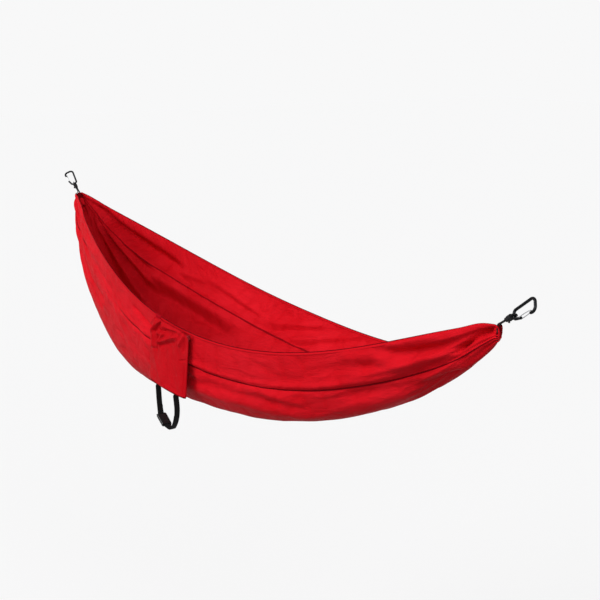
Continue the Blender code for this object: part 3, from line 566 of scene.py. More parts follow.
def broad_fold(x, distance, cross):
    """The folds of the solids, a whole number of waves in each panel."""
    edges = (0.0, cross.front_seam, cross.rear_seam, cross.length)
    for low, high, folds in zip(edges, edges[1:], (FRONT_FOLDS, CENTRE_FOLDS, REAR_FOLDS)):
        if distance <= high or high == cross.length:
            share = (distance - low) / (high - low)
            size = FOLD_SLOPE * (high - low) / folds * (abs(x) / HALF_SPAN) ** FOLD_FADE
            return size * math.sin(2 * math.pi * folds * share)


def streaks(x, share, from_end):
    """Long tension folds that run with the bed and fan out of its ends."""
    side = 7.0 if x > 0 else 0.0
    wander = 0.05 * noise.noise(Vector((x * 1.7, share * 3.0, side + 2.0)))
    across = (share + wander) * STREAKS_ACROSS
    coarse = noise.noise(Vector((x * 0.9, across, side)))
    fine = noise.noise(Vector((x * 1.6, across * 2.1, side + 4.0)))
    reach = (1 - math.exp(-from_end / STREAKS_RISE)) * math.exp(-from_end / STREAKS_FADE)
    return STREAK_HEIGHT * (1.6 * coarse + 0.6 * fine) * (reach + 0.10)


def crumple(x, distance):
    """Soft facets left by packing, the same everywhere."""
    place = Vector((x * 5.0, distance * 6.5, 3.0))
    ridge = 1 - 2 * abs(noise.noise(place)) - 0.6 * abs(noise.noise(place * 2.3))
    worn = max(0.0, noise.noise(place * 0.45 + Vector((9.0, 0.0, 0.0))) + 0.15)
    fine = 1 - 2.4 * abs(noise.noise(Vector((x * 10.0 + distance * 6.0, distance * 17.0, 7.0))))
    return CRUMPLE_HEIGHT * (ridge - 0.5) + WRINKLE_HEIGHT * worn * fine


print("a streak near the tip lifts", round(streaks(1.1, 0.3, 0.19), 4), "m")

# %% [markdown]
# ## Single folds
# What makes this bed look like itself are some thirty-five folds that were in it when it
# was photographed: creases that run in from the tips, slack beside the seams, a wave in
# the rim. They could be sculpted with a brush, but then none could be moved again. So each
# is a ridge or a hollow along a line of places on the cloth, with a height and a half
# width, and it eases in and out at its ends.

# %% One fold
class Fold:
    """One fold: places (x, share of the section) along it, its height and half width."""

    def __init__(self, height, width, *places):
        self.height, self.width = height, width
        self.xs = [x for x, _ in places]
        self.shares = [share for _, share in places]

    def lift(self, x, distance, length):
        if not self.xs[0] < x < self.xs[-1]:
            return 0.0
        index = bisect.bisect_right(self.xs, x) - 1
        step = (x - self.xs[index]) / (self.xs[index + 1] - self.xs[index])
        share = self.shares[index] + (self.shares[index + 1] - self.shares[index]) * step
        width = min(self.width, 0.085 * length)
        reach = min(x - self.xs[0], self.xs[-1] - x) / (0.22 * (self.xs[-1] - self.xs[0]))
        height = self.height * eased(min(1.0, reach)) * width / self.width
        return height * bump(distance, share * length, width)


trial_fold = Fold(0.010, 0.02, (0.0, 0.5), (1.0, 0.5))
print("halfway, a fold of 10 mm lifts", round(trial_fold.lift(0.5, 0.25, 0.5), 4), "m")

# %% The folds of this bed
SINGLE_FOLDS = (
    # front breadth, near end: a deep crease from the tip, the ridges beside it
    Fold(-0.014, 0.012, (0.93, 0.03), (1.04, 0.085), (1.11, 0.122), (1.19, 0.20), (1.26, 0.26)),
    Fold(0.012, 0.014, (0.96, 0.015), (1.10, 0.03), (1.21, 0.09), (1.27, 0.10)),
    Fold(-0.026, 0.008, (1.19, 0.26), (1.25, 0.20), (1.28, 0.17), (1.32, 0.15)),
    Fold(0.014, 0.013, (0.98, 0.16), (1.12, 0.21), (1.22, 0.285), (1.33, 0.31)),
    Fold(0.009, 0.020, (0.80, 0.02), (0.94, 0.07), (1.00, 0.12), (1.09, 0.19)),
    Fold(-0.007, 0.012, (0.88, 0.10), (0.98, 0.145), (1.04, 0.155), (1.12, 0.16)),
    Fold(0.006, 0.010, (1.06, 0.14), (1.14, 0.155), (1.20, 0.17), (1.26, 0.22)),
    # under the front seam, near end
    Fold(-0.016, 0.020, (0.80, 0.22), (0.97, 0.285), (1.06, 0.335), (1.13, 0.43), (1.22, 0.52)),
    Fold(0.010, 0.012, (1.04, 0.345), (1.14, 0.405), (1.22, 0.46), (1.29, 0.48)),
    Fold(-0.008, 0.010, (1.00, 0.40), (1.12, 0.47), (1.20, 0.54), (1.28, 0.57)),
    # rear breadth, seen from inside, where the near rim crosses it
    Fold(-0.014, 0.016, (-0.16, 0.868), (-0.05, 0.875), (0.12, 0.925), (0.33, 0.975)),
    Fold(0.010, 0.011, (-0.12, 0.848), (0.00, 0.862), (0.10, 0.905), (0.24, 0.950), (0.36, 0.985)),
    Fold(-0.010, 0.014, (-0.42, 0.885), (-0.21, 0.905), (0.00, 0.948), (0.12, 0.985)),
    Fold(0.007, 0.010, (-0.32, 0.862), (-0.20, 0.880), (-0.05, 0.925), (0.12, 0.965)),
    Fold(-0.008, 0.012, (-0.68, 0.945), (-0.54, 0.932), (-0.40, 0.918), (-0.25, 0.905)),
    Fold(0.006, 0.010, (-0.62, 0.920), (-0.47, 0.908), (-0.31, 0.900), (-0.18, 0.890)),
    Fold(-0.009, 0.013, (-0.98, 0.880), (-0.88, 0.890), (-0.78, 0.905), (-0.66, 0.925)),
    Fold(0.008, 0.010, (-1.00, 0.905), (-0.90, 0.878), (-0.80, 0.872), (-0.68, 0.868)),
    # hollow and ridges inside the far end
    Fold(0.0456, 0.026, (-1.285, 0.930), (-1.22, 0.880), (-1.14, 0.872), (-1.00, 0.895), (-0.80, 0.905)),
    Fold(-0.0246, 0.012, (-1.29, 0.845), (-1.20, 0.842), (-1.10, 0.838), (-0.97, 0.842), (-0.85, 0.846)),
    Fold(0.0211, 0.012, (-1.28, 0.800), (-1.20, 0.765), (-1.14, 0.755), (-0.92, 0.735)),
    Fold(-0.0211, 0.014, (-1.28, 0.740), (-1.20, 0.705), (-1.12, 0.700), (-0.84, 0.680)),
    Fold(0.0421, 0.022, (-1.292, 0.690), (-1.23, 0.640), (-1.12, 0.632), (-0.62, 0.600)),
    Fold(-0.0175, 0.012, (-1.26, 0.790), (-1.18, 0.790), (-1.08, 0.785), (-0.86, 0.765)),
    # the long fold across the middle of the far half
    Fold(-0.0351, 0.034, (-1.02, 0.775), (-0.88, 0.815), (-0.77, 0.832), (-0.60, 0.838), (-0.30, 0.835)),
    Fold(0.0189, 0.022, (-1.04, 0.700), (-0.90, 0.745), (-0.80, 0.778), (-0.62, 0.792), (-0.36, 0.790)),
    # front breadth and belly, far half
    Fold(-0.006, 0.007, (-1.20, 0.010), (-1.05, 0.012), (-0.95, 0.022), (-0.80, 0.042)),
    Fold(0.008, 0.020, (-1.22, 0.060), (-1.00, 0.080), (-0.85, 0.070), (-0.66, 0.030)),
    Fold(-0.010, 0.014, (-1.08, 0.330), (-0.93, 0.280), (-0.80, 0.250), (-0.64, 0.215)),
    Fold(-0.007, 0.010, (-0.98, 0.245), (-0.86, 0.220), (-0.71, 0.186), (-0.58, 0.170)),
    Fold(0.007, 0.014, (-1.00, 0.285), (-0.88, 0.245), (-0.74, 0.215), (-0.60, 0.190)),
    Fold(-0.016, 0.010, (-0.28, 0.045), (-0.20, 0.060), (-0.12, 0.070), (-0.04, 0.078)),
    # belly of the near half
    Fold(0.008, 0.026, (0.00, 0.240), (0.20, 0.215), (0.40, 0.220), (0.60, 0.265), (0.80, 0.33)),
    Fold(0.006, 0.014, (0.40, 0.150), (0.52, 0.165), (0.62, 0.205), (0.72, 0.24)),
    Fold(-0.006, 0.016, (0.05, 0.190), (0.30, 0.180), (0.50, 0.200), (0.70, 0.255)),
)
print("single folds", len(SINGLE_FOLDS))


# %% Cloth lift
def cloth_lift(x, distance, cross):
    """How far the finished cloth stands outside its plain run, in metres."""
    share = distance / cross.length
    from_end = max(0.0, HALF_SPAN - abs(x))
    near_rim = min(1.0, share * RIM_STEEPNESS, (1 - share) * RIM_STEEPNESS)
    lift = broad_fold(x, distance, cross)
    gathers = math.exp(-from_end / GATHER_REACH) * math.sin(2 * math.pi * GATHER_COUNT * share)
    lift += GATHER_HEIGHT * gathers
    open_end = 1 - math.exp(-from_end / END_STIFFNESS)
    calm = 1 - 0.7 * bump(share, *FAR_CALM_SHARE) * bump(x, *FAR_CALM_X)
    worn = crumple(x, distance) * near_rim * (1 - 0.55 * bump(share, *BELLY_CALM_SHARE))
    lift += (streaks(x, share, from_end) * (0.35 + 0.65 * near_rim) * calm + worn) * open_end
    lift += sum(fold.lift(x, distance, cross.length) for fold in SINGLE_FOLDS)
    if x > 0:
        pouch = bump(from_end, *NEAR_POUCH_AT) * (1 - 0.7 * math.exp(-from_end / 0.02))
        lift += NEAR_POUCH * pouch * math.sin(math.pi * share) ** 1.2
    else:
        lift += FAR_POUCH * bump(from_end, *FAR_POUCH_AT)
    opened = min(1.0, from_end / GROOVE_FADE)
    for seam in (cross.front_seam, cross.rear_seam):
        lift -= SEAM_GROOVE * bump(distance, seam, SEAM_GROOVE_WIDTH) * opened
    lap_before, lap_width = SEAM_LAP_AT
    lift += SEAM_LAP * bump(distance, cross.front_seam - lap_before, lap_width) * opened
    return max(lift, DEEPEST_LIFT - 0.7 * from_end)


def bed_spot(x, distance, proud=0.0):
    """A point of the finished cloth, moved outwards by the proud height, and its normal.

    Past the ends of the bed the cloth closes like a beak round the rope."""
    cross = Section.at(x)
    point, normal = cross.point(distance)
    past = min(1.0, max(0.0, (abs(x) - HALF_SPAN) / TIP_REACH))
    lifted = point + normal * (cloth_lift(x, distance, cross) * (1 - 0.6 * past) + proud)
    rim = math.cos(math.pi * min(1.0, max(0.0, distance / cross.length))) ** 4
    hump = TIP_HUMP * bump(HALF_SPAN - x, *TIP_HUMP_AT) * rim
    closed = math.sqrt(1 - TIP_CLOSING * past ** 2.5)
    middle = END_Z - END_DEPTH / 2
    return Vector((x, lifted.y * closed, middle + (lifted.z + hump - middle) * closed)), normal


print("lift at a near pleat", round(cloth_lift(1.1, 0.3, Section.at(1.1)), 4))

# %% [markdown]
# ## The three breadths of the bed
# The bed is sewn from three breadths of nylon, and each is a piece of its own, because
# their edges show at the seams. A sheet starts as a flat grid, and every vertex is moved
# to its place on the run of the bed. Each vertex also writes its metres along and across
# the cloth into a UV map, so the weave follows the cloth. A Solidify modifier gives the
# nylon its thickness last. Each breadth stands for its solid and rides on the bed.

# %% Helpers for every piece
EVEN_ROWS, CLOSER_ROWS = 0.32, 0.68


def station(share):
    """x for a share from -1 to 1 of the bed, with closer rows near the gathered ends."""
    return (HALF_SPAN + TIP_REACH) * (EVEN_ROWS * share + CLOSER_ROWS * math.sin(math.pi / 2 * share))


def finish_mesh(name, bm, finish, smooth_angle=None):
    mesh = bpy.data.meshes.new(name)
    bm.to_mesh(mesh)
    bm.free()
    mesh.shade_smooth()
    if smooth_angle:
        mesh.set_sharp_from_angle(angle=math.radians(smooth_angle))
    made = bpy.data.objects.new(name, mesh)
    bpy.context.scene.collection.objects.link(made)
    mesh.materials.append(finish.material)
    return made


def write_run(bm, places):
    """Stores each vertex's metres along and across in the UV map named run."""
    layer = bm.loops.layers.uv.new("run")
    for face in bm.faces:
        for loop in face.loops:
            loop[layer].uv = places[loop.vert]


def thicken(piece, thickness, offset=0.0):
    shell = piece.modifiers.new("cloth", "SOLIDIFY")
    shell.thickness = thickness
    shell.offset = offset


def settle(piece, body, slot, *nodes):
    """Says what a piece rides on and hides the solids it stands for; the slot is not used."""
    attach(piece, body)
    if nodes:
        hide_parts(*nodes)


print("rows at the tip are", round(station(1.0) - station(0.99), 5), "m apart at most")

# %% Cloth panels
PANEL_CELLS = 420
SHEET_CLOTH = 0.0007


def cloth_panel(name, edges, cells):
    bm = bmesh.new()
    bmesh.ops.create_grid(bm, x_segments=PANEL_CELLS, y_segments=cells, size=1.0)
    places = {}
    for vert in bm.verts:
        x = station(vert.co.x)
        low, high = edges(Section.at(x))
        distance = low + (high - low) * (vert.co.y + 1) / 2
        places[vert] = (x, distance)
        vert.co = bed_spot(x, distance)[0]
    write_run(bm, places)
    panel = finish_mesh(name, bm, bed_nylon)
    thicken(panel, SHEET_CLOTH)
    return panel


BREADTHS = (
    # piece, its solid, where it starts and stops on a section, cells across, cut width
    ("front_side_cloth", "front_side_panel", lambda cross: (0.0, cross.front_seam), 34, FRONT_SEAM),
    ("centre_cloth", "centre_panel", lambda cross: (cross.front_seam, cross.rear_seam), 114,
     middle.rear_seam - middle.front_seam),
    ("rear_side_cloth", "rear_side_panel", lambda cross: (cross.rear_seam, cross.length), 40, REAR_SEAM),
)
for name, node, edges, cells, cut in BREADTHS:
    cloth = cloth_panel(name, edges, cells)
    settle(cloth, "bed", "red_nylon", node)
    print(cloth.name, len(cloth.data.vertices), "vertices, cut", round(cut, 3), "m wide")

# %% [markdown]
# ## Hems and felled seams
# The rims have a narrow hem, and the breadths meet in felled seams. A curve with a bevel
# could draw them, but its UV map wouldn't hold metres. So a band is a flattened tube
# that is swept along the bed: a circle of edges is squashed to the band's width and
# thickness and extruded from station to station. Its UV map holds metres along the band
# and metres across it, which is where the stitches go.

# %% Places along a path
def frame_at(point, along, side, wide=1.0, thick=None):
    """Matrix whose Z runs along a path, whose X is the given side and whose Y is up."""
    forward = Vector(along).normalized()
    across = (Vector(side) - forward * Vector(side).dot(forward)).normalized()
    turn = Matrix((across, forward.cross(across), forward)).transposed().to_4x4()
    size = Matrix.Diagonal((wide, wide if thick is None else thick, 1.0, 1.0))
    return Matrix.Translation(point) @ turn @ size


def headings(points, closed=False):
    """Each place's number, the place, and the way from the one before it to the next."""
    last = len(points) - 1
    for index, point in enumerate(points):
        before = points[index - 1] if index or closed else points[0]
        after = points[(index + 1) % len(points)] if index < last or closed else points[last]
        yield index, point, after - before


def superellipse(angle, power):
    """How far a squarish ring of radius 1 reaches at an angle; a power of 2 is a circle."""
    return (abs(math.cos(angle)) ** power + abs(math.sin(angle)) ** power) ** (-1 / power)


print("a ring of power 4 reaches", round(superellipse(math.pi / 4, 4), 3), "at its corners")


# %% Sweep
def sweep(stations, sides, closed=False, power=2.0):
    """Extrudes a ring of edges through the stations; gives the bmesh with its run in UVs."""
    bm = bmesh.new()
    ring = bmesh.ops.create_circle(bm, segments=sides, radius=1.0)["verts"]
    angles = {}
    for vert in ring:
        angle = math.atan2(vert.co.y, vert.co.x)
        reach = superellipse(angle, power)
        angles[vert] = angle
        vert.co = stations[0] @ Vector((math.cos(angle) * reach, math.sin(angle) * reach, 0))
    places = {vert: (0.0, angles[vert]) for vert in ring}
    first = edges = list({edge for vert in ring for edge in vert.link_edges})
    run = 0.0
    for before, after in zip(stations, stations[1:]):
        run += (after.translation - before.translation).length
        links = {(vert.co.x, vert.co.y, vert.co.z): angles[vert] for edge in edges for vert in edge.verts}
        grown = bmesh.ops.extrude_edge_only(bm, edges=edges)["geom"]
        verts = [item for item in grown if isinstance(item, bmesh.types.BMVert)]
        for vert in verts:
            angles[vert] = links[(vert.co.x, vert.co.y, vert.co.z)]
            places[vert] = (run, angles[vert])
        edges = [item for item in grown if isinstance(item, bmesh.types.BMEdge)
                 and item.verts[0] in angles and item.verts[1] in angles
                 and places[item.verts[0]][0] == run and places[item.verts[1]][0] == run]
        bmesh.ops.transform(bm, matrix=after @ before.inverted(), verts=verts)
    if closed:
        bmesh.ops.bridge_loops(bm, edges=first + edges)
    else:
        for end in (first, edges):
            bmesh.ops.holes_fill(bm, edges=end, sides=0)
    bmesh.ops.recalc_face_normals(bm, faces=bm.faces)
    layer = bm.loops.layers.uv.new("run")
    for face in bm.faces:
        turns = [places[loop.vert][1] for loop in face.loops]
        wraps = max(turns) - min(turns) > math.pi
        for loop, turn in zip(face.loops, turns):
            turn = turn + 2 * math.pi if wraps and turn < 0 else turn
            loop[layer].uv = (places[loop.vert][0], turn)
    return bm


def path_frames(points, side, wide, thick, closed=False):
    """Stations along a line of points, all with the same side."""
    frames = []
    for index, point, along in headings(points, closed):
        size = wide[index] if isinstance(wide, list) else wide
        frames.append(frame_at(point, along, side, size, thick))
    return frames


trial_rod = sweep([Matrix.Translation((0, 0, height)) for height in (0.0, 0.1, 0.2)], 8)
print("a rod of 8 sides and 2 steps has", len(trial_rod.faces), "faces")
trial_rod.free()


# %% Bands along the bed
BAND_CELLS = 420
BAND_SIDES = 12
BAND_POWER = 4.0
HEM_WIDTH = 0.0100
HEM_THICKNESS = 0.0022
HEM_OVERHANG = 0.0012
SEAM_TAPE_WIDTH = 0.0065
SEAM_TAPE_THICKNESS = 0.0024
NARROWEST = 0.30                 # a band's share of its width at the tips
WIDENING = 2.5                   # and how much it gains with each metre from them


def band_rows(distance_of, width, thickness):
    """Stations of a band that lies on the cloth at a distance from the front rim."""
    spots, sides = [], []
    for cell in range(BAND_CELLS + 1):
        x = station(2 * cell / BAND_CELLS - 1)
        narrow = min(1.0, NARROWEST + WIDENING * (HALF_SPAN - abs(x)))
        spot, normal = bed_spot(x, distance_of(Section.at(x), narrow))
        spots.append(spot)
        sides.append((normal, width / 2 * narrow))
    frames = []
    for index, spot, along in headings(spots):
        normal, wide = sides[index]
        frames.append(frame_at(spot, along, normal.cross(along), wide, thickness / 2))
    return frames


def across_band(bm, half_width):
    """Turns the ring's angle in the UV map into metres across a flat band."""
    layer = bm.loops.layers.uv["run"]
    for face in bm.faces:
        for loop in face.loops:
            loop[layer].uv.y = math.cos(loop[layer].uv.y) * half_width
    return bm


def band(name, distance_of, width, thickness, finish):
    bm = sweep(band_rows(distance_of, width, thickness), BAND_SIDES, power=BAND_POWER)
    made = finish_mesh(name, across_band(bm, width / 2), finish)
    settle(made, "bed", "deep_red_nylon")
    print(name, "is", round(width * 1000, 1), "mm wide")


# %% Hems and seams
band("front_rim_hem", lambda cross, narrow: HEM_WIDTH / 2 * narrow - HEM_OVERHANG,
     HEM_WIDTH, HEM_THICKNESS, front_hem)
band("rear_rim_hem", lambda cross, narrow: cross.length - HEM_WIDTH / 2 * narrow + HEM_OVERHANG,
     HEM_WIDTH, HEM_THICKNESS, rear_hem)
band("front_felled_seam", lambda cross, narrow: cross.front_seam,
     SEAM_TAPE_WIDTH, SEAM_TAPE_THICKNESS, seam_shadow_tape)
band("rear_felled_seam", lambda cross, narrow: cross.rear_seam,
     SEAM_TAPE_WIDTH, SEAM_TAPE_THICKNESS, rear_seam_shadow_tape)

# %% [markdown]
# ## The gathered ends
# At each end the cloth is sewn over into a channel and drawn up tight on the rope. Seen
# from outside, the breadths themselves close round the rope. What fills the bunch inside
# them is a blunt, ribbed nose in the shade. A fold for every pleat would cut through its
# neighbours, so we loft one closed form in rings, from inside the bed out to its tip. A
# rib for each gather runs along it, and one deep pleat stays open where the front
# breadth turns in.

# %% Loft
def loft(rows, columns, spot):
    """A grid wrapped round into a tube and welded: spot gives each place, front half first."""
    bm = bmesh.new()
    bmesh.ops.create_grid(bm, x_segments=2 * columns, y_segments=rows, size=1.0)
    places = {}
    for vert in bm.verts:
        column = round((vert.co.x + 1) * columns) % (2 * columns)
        u = -math.cos(math.pi * column / columns)
        vert.co = spot(u, (vert.co.y + 1) / 2, column < columns)
        places[vert] = (vert.co.x, vert.co.z)
    write_run(bm, places)
    open_edge = [vert for vert in bm.verts if vert.is_boundary]
    bmesh.ops.remove_doubles(bm, verts=open_edge, dist=1e-7)
    bmesh.ops.recalc_face_normals(bm, faces=bm.faces)
    return bm


trial_tube = loft(3, 6, lambda u, up, front: Vector((u, (u * u - 1) * (1 if front else -1), up)))
print("a tube of 3 rows and 12 columns has", len(trial_tube.faces), "faces")
trial_tube.free()

# %% Sizes of the nose
NOSE_HALF_WIDTH = 0.0074
NOSE_HALF_HEIGHT = 0.0185
NEAR_NOSE_BACK = 0.012
FAR_NOSE_BACK = 0.052
NOSE_BACK_SIZE = 0.62
NOSE_FRONT = 0.0056
NOSE_RIBS = 11
NOSE_ROWS = 40
NOSE_COLUMNS = 120
NOSE_POWER = 2.4
NOSE_TAPER = 0.002               # how far inside the end plane it starts to close
NOSE_RIB = 0.035                 # heights of the ribs, and of the finer ones between them
NOSE_FINE_RIB = 0.018
NOSE_PLEAT = 0.42
NOSE_PLEAT_AT = (0.24, 0.17)     # the angle of the open pleat and its width
NOSE_CREASES = 0.0010
NOSE_GLOSS = 0.46
NOSE_MIDDLE_Z = END_Z - (END_DEPTH - SLEEVE_LIP) / 2 + 0.001
# where the painted shade on each nose's tip begins, inside the end plane
PAINTED_SHADE_FROM = {"far": -0.030, "near": -0.004}
print("each nose has", NOSE_RIBS, "ribs and its middle at z", round(NOSE_MIDDLE_Z, 4))


# %% Gathered noses
def nose_spot(side):
    """Places on the nose at one end: out runs from its back, inside the bed, to its tip."""
    back = NEAR_NOSE_BACK if side > 0 else FAR_NOSE_BACK
    half_width = NOSE_HALF_WIDTH + (0.0 if side > 0 else 0.6 * FAR_POUCH)

    def spot(u, out, front):
        turn = math.asin(max(-1.0, min(1.0, u)))
        angle = turn if front else math.pi - turn
        reach = superellipse(angle, NOSE_POWER)
        x = -back + (back + NOSE_FRONT) * math.sin(math.pi / 2 * out)
        ahead = max(0.0, (x + NOSE_TAPER) / (NOSE_FRONT + NOSE_TAPER))
        narrow = max(0.0, 1 - ahead ** 2.1) ** 0.5
        grown = min(1.0, (x + back) / (0.8 * back))
        swell = NOSE_BACK_SIZE + (1 - NOSE_BACK_SIZE) * eased(grown)
        rib = 1 + NOSE_RIB * math.sin(NOSE_RIBS * angle + 0.8)
        rib += NOSE_FINE_RIB * math.sin(2.3 * NOSE_RIBS * angle + 2.0)
        size = swell * rib * (1 - NOSE_PLEAT * bump(angle, *NOSE_PLEAT_AT))
        sunk = (back - NEAR_NOSE_BACK) * (1 - grown)
        return Vector((side * (SLEEVE_X + x), -math.cos(angle) * reach * size * narrow * half_width,
                       NOSE_MIDDLE_Z - sunk
                       + math.sin(angle) * reach * size * narrow ** 0.6 * NOSE_HALF_HEIGHT))
    return spot


for end, side in ENDS:
    name = end + "_gathered_nose"
    # each nose's colour is painted dark towards its tip, as the shade inside the gather
    finish = nylon(name, RED, RED_SHADE, NOSE_CREASES, NOSE_GLOSS, SLEEVE_X + PAINTED_SHADE_FROM[end])
    nose = finish_mesh(name, loft(NOSE_ROWS, NOSE_COLUMNS, nose_spot(side)), finish, 70)
    settle(nose, "bed", "deep_red_nylon", end + "_end_sleeve")
    print(name, "stands out to x", round(max(abs(v.co.x) for v in nose.data.vertices), 4))

# %% [markdown]
# ## Rope and knot
# The black line is a round braid of sixteen strands. It runs through the gathered hem,
# comes out at both lips and is drawn together by a wrapped knot that ends in an eye.
# Sixteen modelled strands would be thinner than a pixel, so the braid is a relief in the
# finish: two sets of eight spirals that cross, read from the metres along the rope and
# the angle round it. The knot's turns are wide enough to be modelled as a real coil.

# %% Rope finish
BRAID_PITCH = 0.0085
BRAID_STRANDS = 8
BRAID_RELIEF = 0.0006
ROPE_BLACKS = (0.018, 0.018, 0.020), (0.004, 0.004, 0.0045)


def braid(name, light, dark, pitch, strands, depth):
    finish = Finish(name, Roughness=0.72, IOR=1.35)
    along, angle, _ = finish.along_and_across().split()
    turn = angle * (strands / (2 * math.pi))
    right = (along / pitch * strands + turn).math("FRACT") - 0.5
    left = (along / pitch * strands - turn).math("FRACT") - 0.5
    yarns = (right.math("ABSOLUTE") * left.math("ABSOLUTE") * 4.0).smooth(0.05, 0.6)
    fibre = finish.start.node("ShaderNodeTexNoise", Vector=finish.place(), Scale=900.0, Detail=2.0)
    height = (1 - yarns) + fibre * 0.35
    finish.relief(height, depth)
    # the colour is painted darker in the grooves between the strands, as shade
    finish.give("Base Color", ((1 - yarns) * 0.8 + fibre * 0.2).mix(dark, light))
    return finish


rope_braid = braid("black braided line", *ROPE_BLACKS, BRAID_PITCH, BRAID_STRANDS, BRAID_RELIEF)
print("braid of", 2 * BRAID_STRANDS, "strands, pitch", BRAID_PITCH)


# %% The rope's way
BEND_STEPS = 26
LEG_STEPS = 20


def trough_line(side):
    """The rope's way through the channel, from the front lip to the rear lip."""
    half = 2 * ROPE_RADIUS
    straight = END_DEPTH - END_HALF_WIDTH
    leg = [SLEEVE_LIP - 0.002] + [-straight * step / LEG_STEPS for step in range(1, LEG_STEPS)]
    profile = [(-half, z) for z in leg]
    for step in range(BEND_STEPS + 1):
        turn = math.pi * step / BEND_STEPS
        profile.append((-half * math.cos(turn), -straight - half * math.sin(turn)))
    profile += [(half, z) for z in leg[::-1]]
    return [Vector((side * SLEEVE_X, y, END_Z + z)) for y, z in profile]


def rope_direction(side):
    return Vector((side * math.cos(ROPE_SLOPE), 0.0, math.sin(ROPE_SLOPE)))


def along_rope(side, distance):
    return Vector((side * HALF_SPAN, 0.0, END_Z)) + rope_direction(side) * distance


def bezier(start, leave, arrive, end, steps):
    points = []
    for step in range(steps + 1):
        t = step / steps
        points.append(start * (1 - t) ** 3 + leave * 3 * t * (1 - t) ** 2
                      + arrive * 3 * t * t * (1 - t) + end * t ** 3)
    return points


print("the rope's way through the hem has", len(trough_line(1)), "points")

# %% Ropes
EYE_CLEARANCE = 0.0004
EYE_RADIUS = ROD_DIAMETER / 2 + EYE_CLEARANCE + ROPE_RADIUS
KNOT_START = ROPE_REACH - EYE_RADIUS - KNOT_LENGTH
STRAND_PULL = 0.005
STRANDS_MEET = 0.012
FAR_TWIST = math.radians(60)
NEAR_TWIST = math.radians(25)


def strand(side, y_sign):
    """One strand, from the lip of the hem up to the knot."""
    line = trough_line(side)
    lip = line[0] if y_sign < 0 else line[-1]
    beside = Vector((0.0, y_sign * (ROPE_RADIUS + 0.00015), 0.0))
    meet = along_rope(side, STRANDS_MEET) + beside
    curve = bezier(lip, lip + Vector((side * 0.4, -0.2 * y_sign, 1)) * STRAND_PULL,
                   meet - rope_direction(side) * STRAND_PULL, meet, 12)
    straight = [along_rope(side, STRANDS_MEET + (KNOT_START - STRANDS_MEET) * step / 4) + beside
                for step in range(1, 5)]
    return curve + straight


def gate_side(side):
    """Unit vector across a carabiner, from its spine to its gate."""
    twist = NEAR_TWIST if side > 0 else FAR_TWIST
    below = Vector((side * math.sin(ROPE_SLOPE), 0.0, -math.cos(ROPE_SLOPE)))
    return below * math.cos(twist) + Vector((0, -1, 0)) * math.sin(twist)


def round_line(name, points, radius, finish, sides=14, closed=False):
    """A round line along a path, with frames that turn as little as they can."""
    frames = []
    normal = None
    for index, point, ahead in headings(points, closed):
        along = ahead.normalized()
        if normal is None:
            normal = along.orthogonal()
        normal = (normal - along * normal.dot(along)).normalized()
        size = radius[index] if isinstance(radius, list) else radius
        frames.append(frame_at(point, along, normal, size))
    return finish_mesh(name, sweep(frames, sides, closed=closed), finish)


def rope_piece(end, side):
    points = strand(side, -1)[::-1][:-1] + trough_line(side) + strand(side, 1)[1:]
    made = round_line(end + "_braided_rope", points, ROPE_RADIUS, rope_braid)
    settle(made, "bed", "black_rope", end + "_rope")
    length = sum((b - a).length for a, b in zip(points, points[1:]))
    print(made.name, "runs", round(length, 3), "m from knot to knot")


print("the knots start", round(KNOT_START, 4), "m along their ropes")

# %% [markdown]
# ## The wrapped knots
# Above the gathered cloth, turns of the same line bind the rope's two strands. Past the
# turns lies the eye that the carabiner hangs in, and a cut tail sticks out below them.
# One lumpy mesh could stand for all of it, but the turns catch the light one by one. So
# the turns, the core that they bind, the eye and the tail are each a line of their own,
# swept with the rope's round section.

# %% Parts of a knot
KNOT_TURNS = 6
STEPS_PER_TURN = 22
WRAP_START = KNOT_START - 0.006
WRAP_STOP = KNOT_START + KNOT_LENGTH
WRAP_RADIUS_START = 0.0036
WRAP_SWELL = 0.0022
CORE_RADII = (0.0040, 0.0042, 0.0046, 0.0046, 0.0040)
EYE_STEPS = 28
TAIL_LENGTH = 0.009
KNOT_SIDES = 12


def knot_turns(side):
    """The line's turns round its own two strands, which swell towards the eye."""
    out = Vector((0, 1, 0))
    up = rope_direction(side).cross(out)
    coil = []
    steps = STEPS_PER_TURN * KNOT_TURNS
    for step in range(steps + 1):
        share = step / steps
        angle = 2 * math.pi * KNOT_TURNS * share
        swell = eased(min(1.0, share / 0.60))
        reach = WRAP_RADIUS_START + WRAP_SWELL * swell + 0.0003 * math.sin(angle * 0.6)
        coil.append(along_rope(side, WRAP_START + (WRAP_STOP - 0.0022 - WRAP_START) * share)
                    + out * math.cos(angle) * reach + up * math.sin(angle) * reach)
    return coil


def knot_core(side):
    start = WRAP_START + 0.004
    return [along_rope(side, start + (WRAP_STOP - start) * share) for share in (0.0, 0.25, 0.5, 0.75, 1.0)]


def knot_eye(side):
    centre = along_rope(side, ROPE_REACH)
    arm = rope_direction(side) * EYE_RADIUS
    return [centre + Matrix.Rotation(2 * math.pi * step / EYE_STEPS, 4, gate_side(side)) @ arm
            for step in range(EYE_STEPS)]


def knot_tail(side):
    root = along_rope(side, KNOT_START + 0.62 * KNOT_LENGTH) + Vector((0, -0.003, -0.004))
    down = Vector((side * 0.25, -0.35, -1.0)).normalized()
    return [root + down * TAIL_LENGTH * share for share in (0.0, 0.2, 0.4, 0.6, 0.8, 0.93, 1.0)]


print("a knot has", KNOT_TURNS, "turns and a tail of", TAIL_LENGTH, "m")


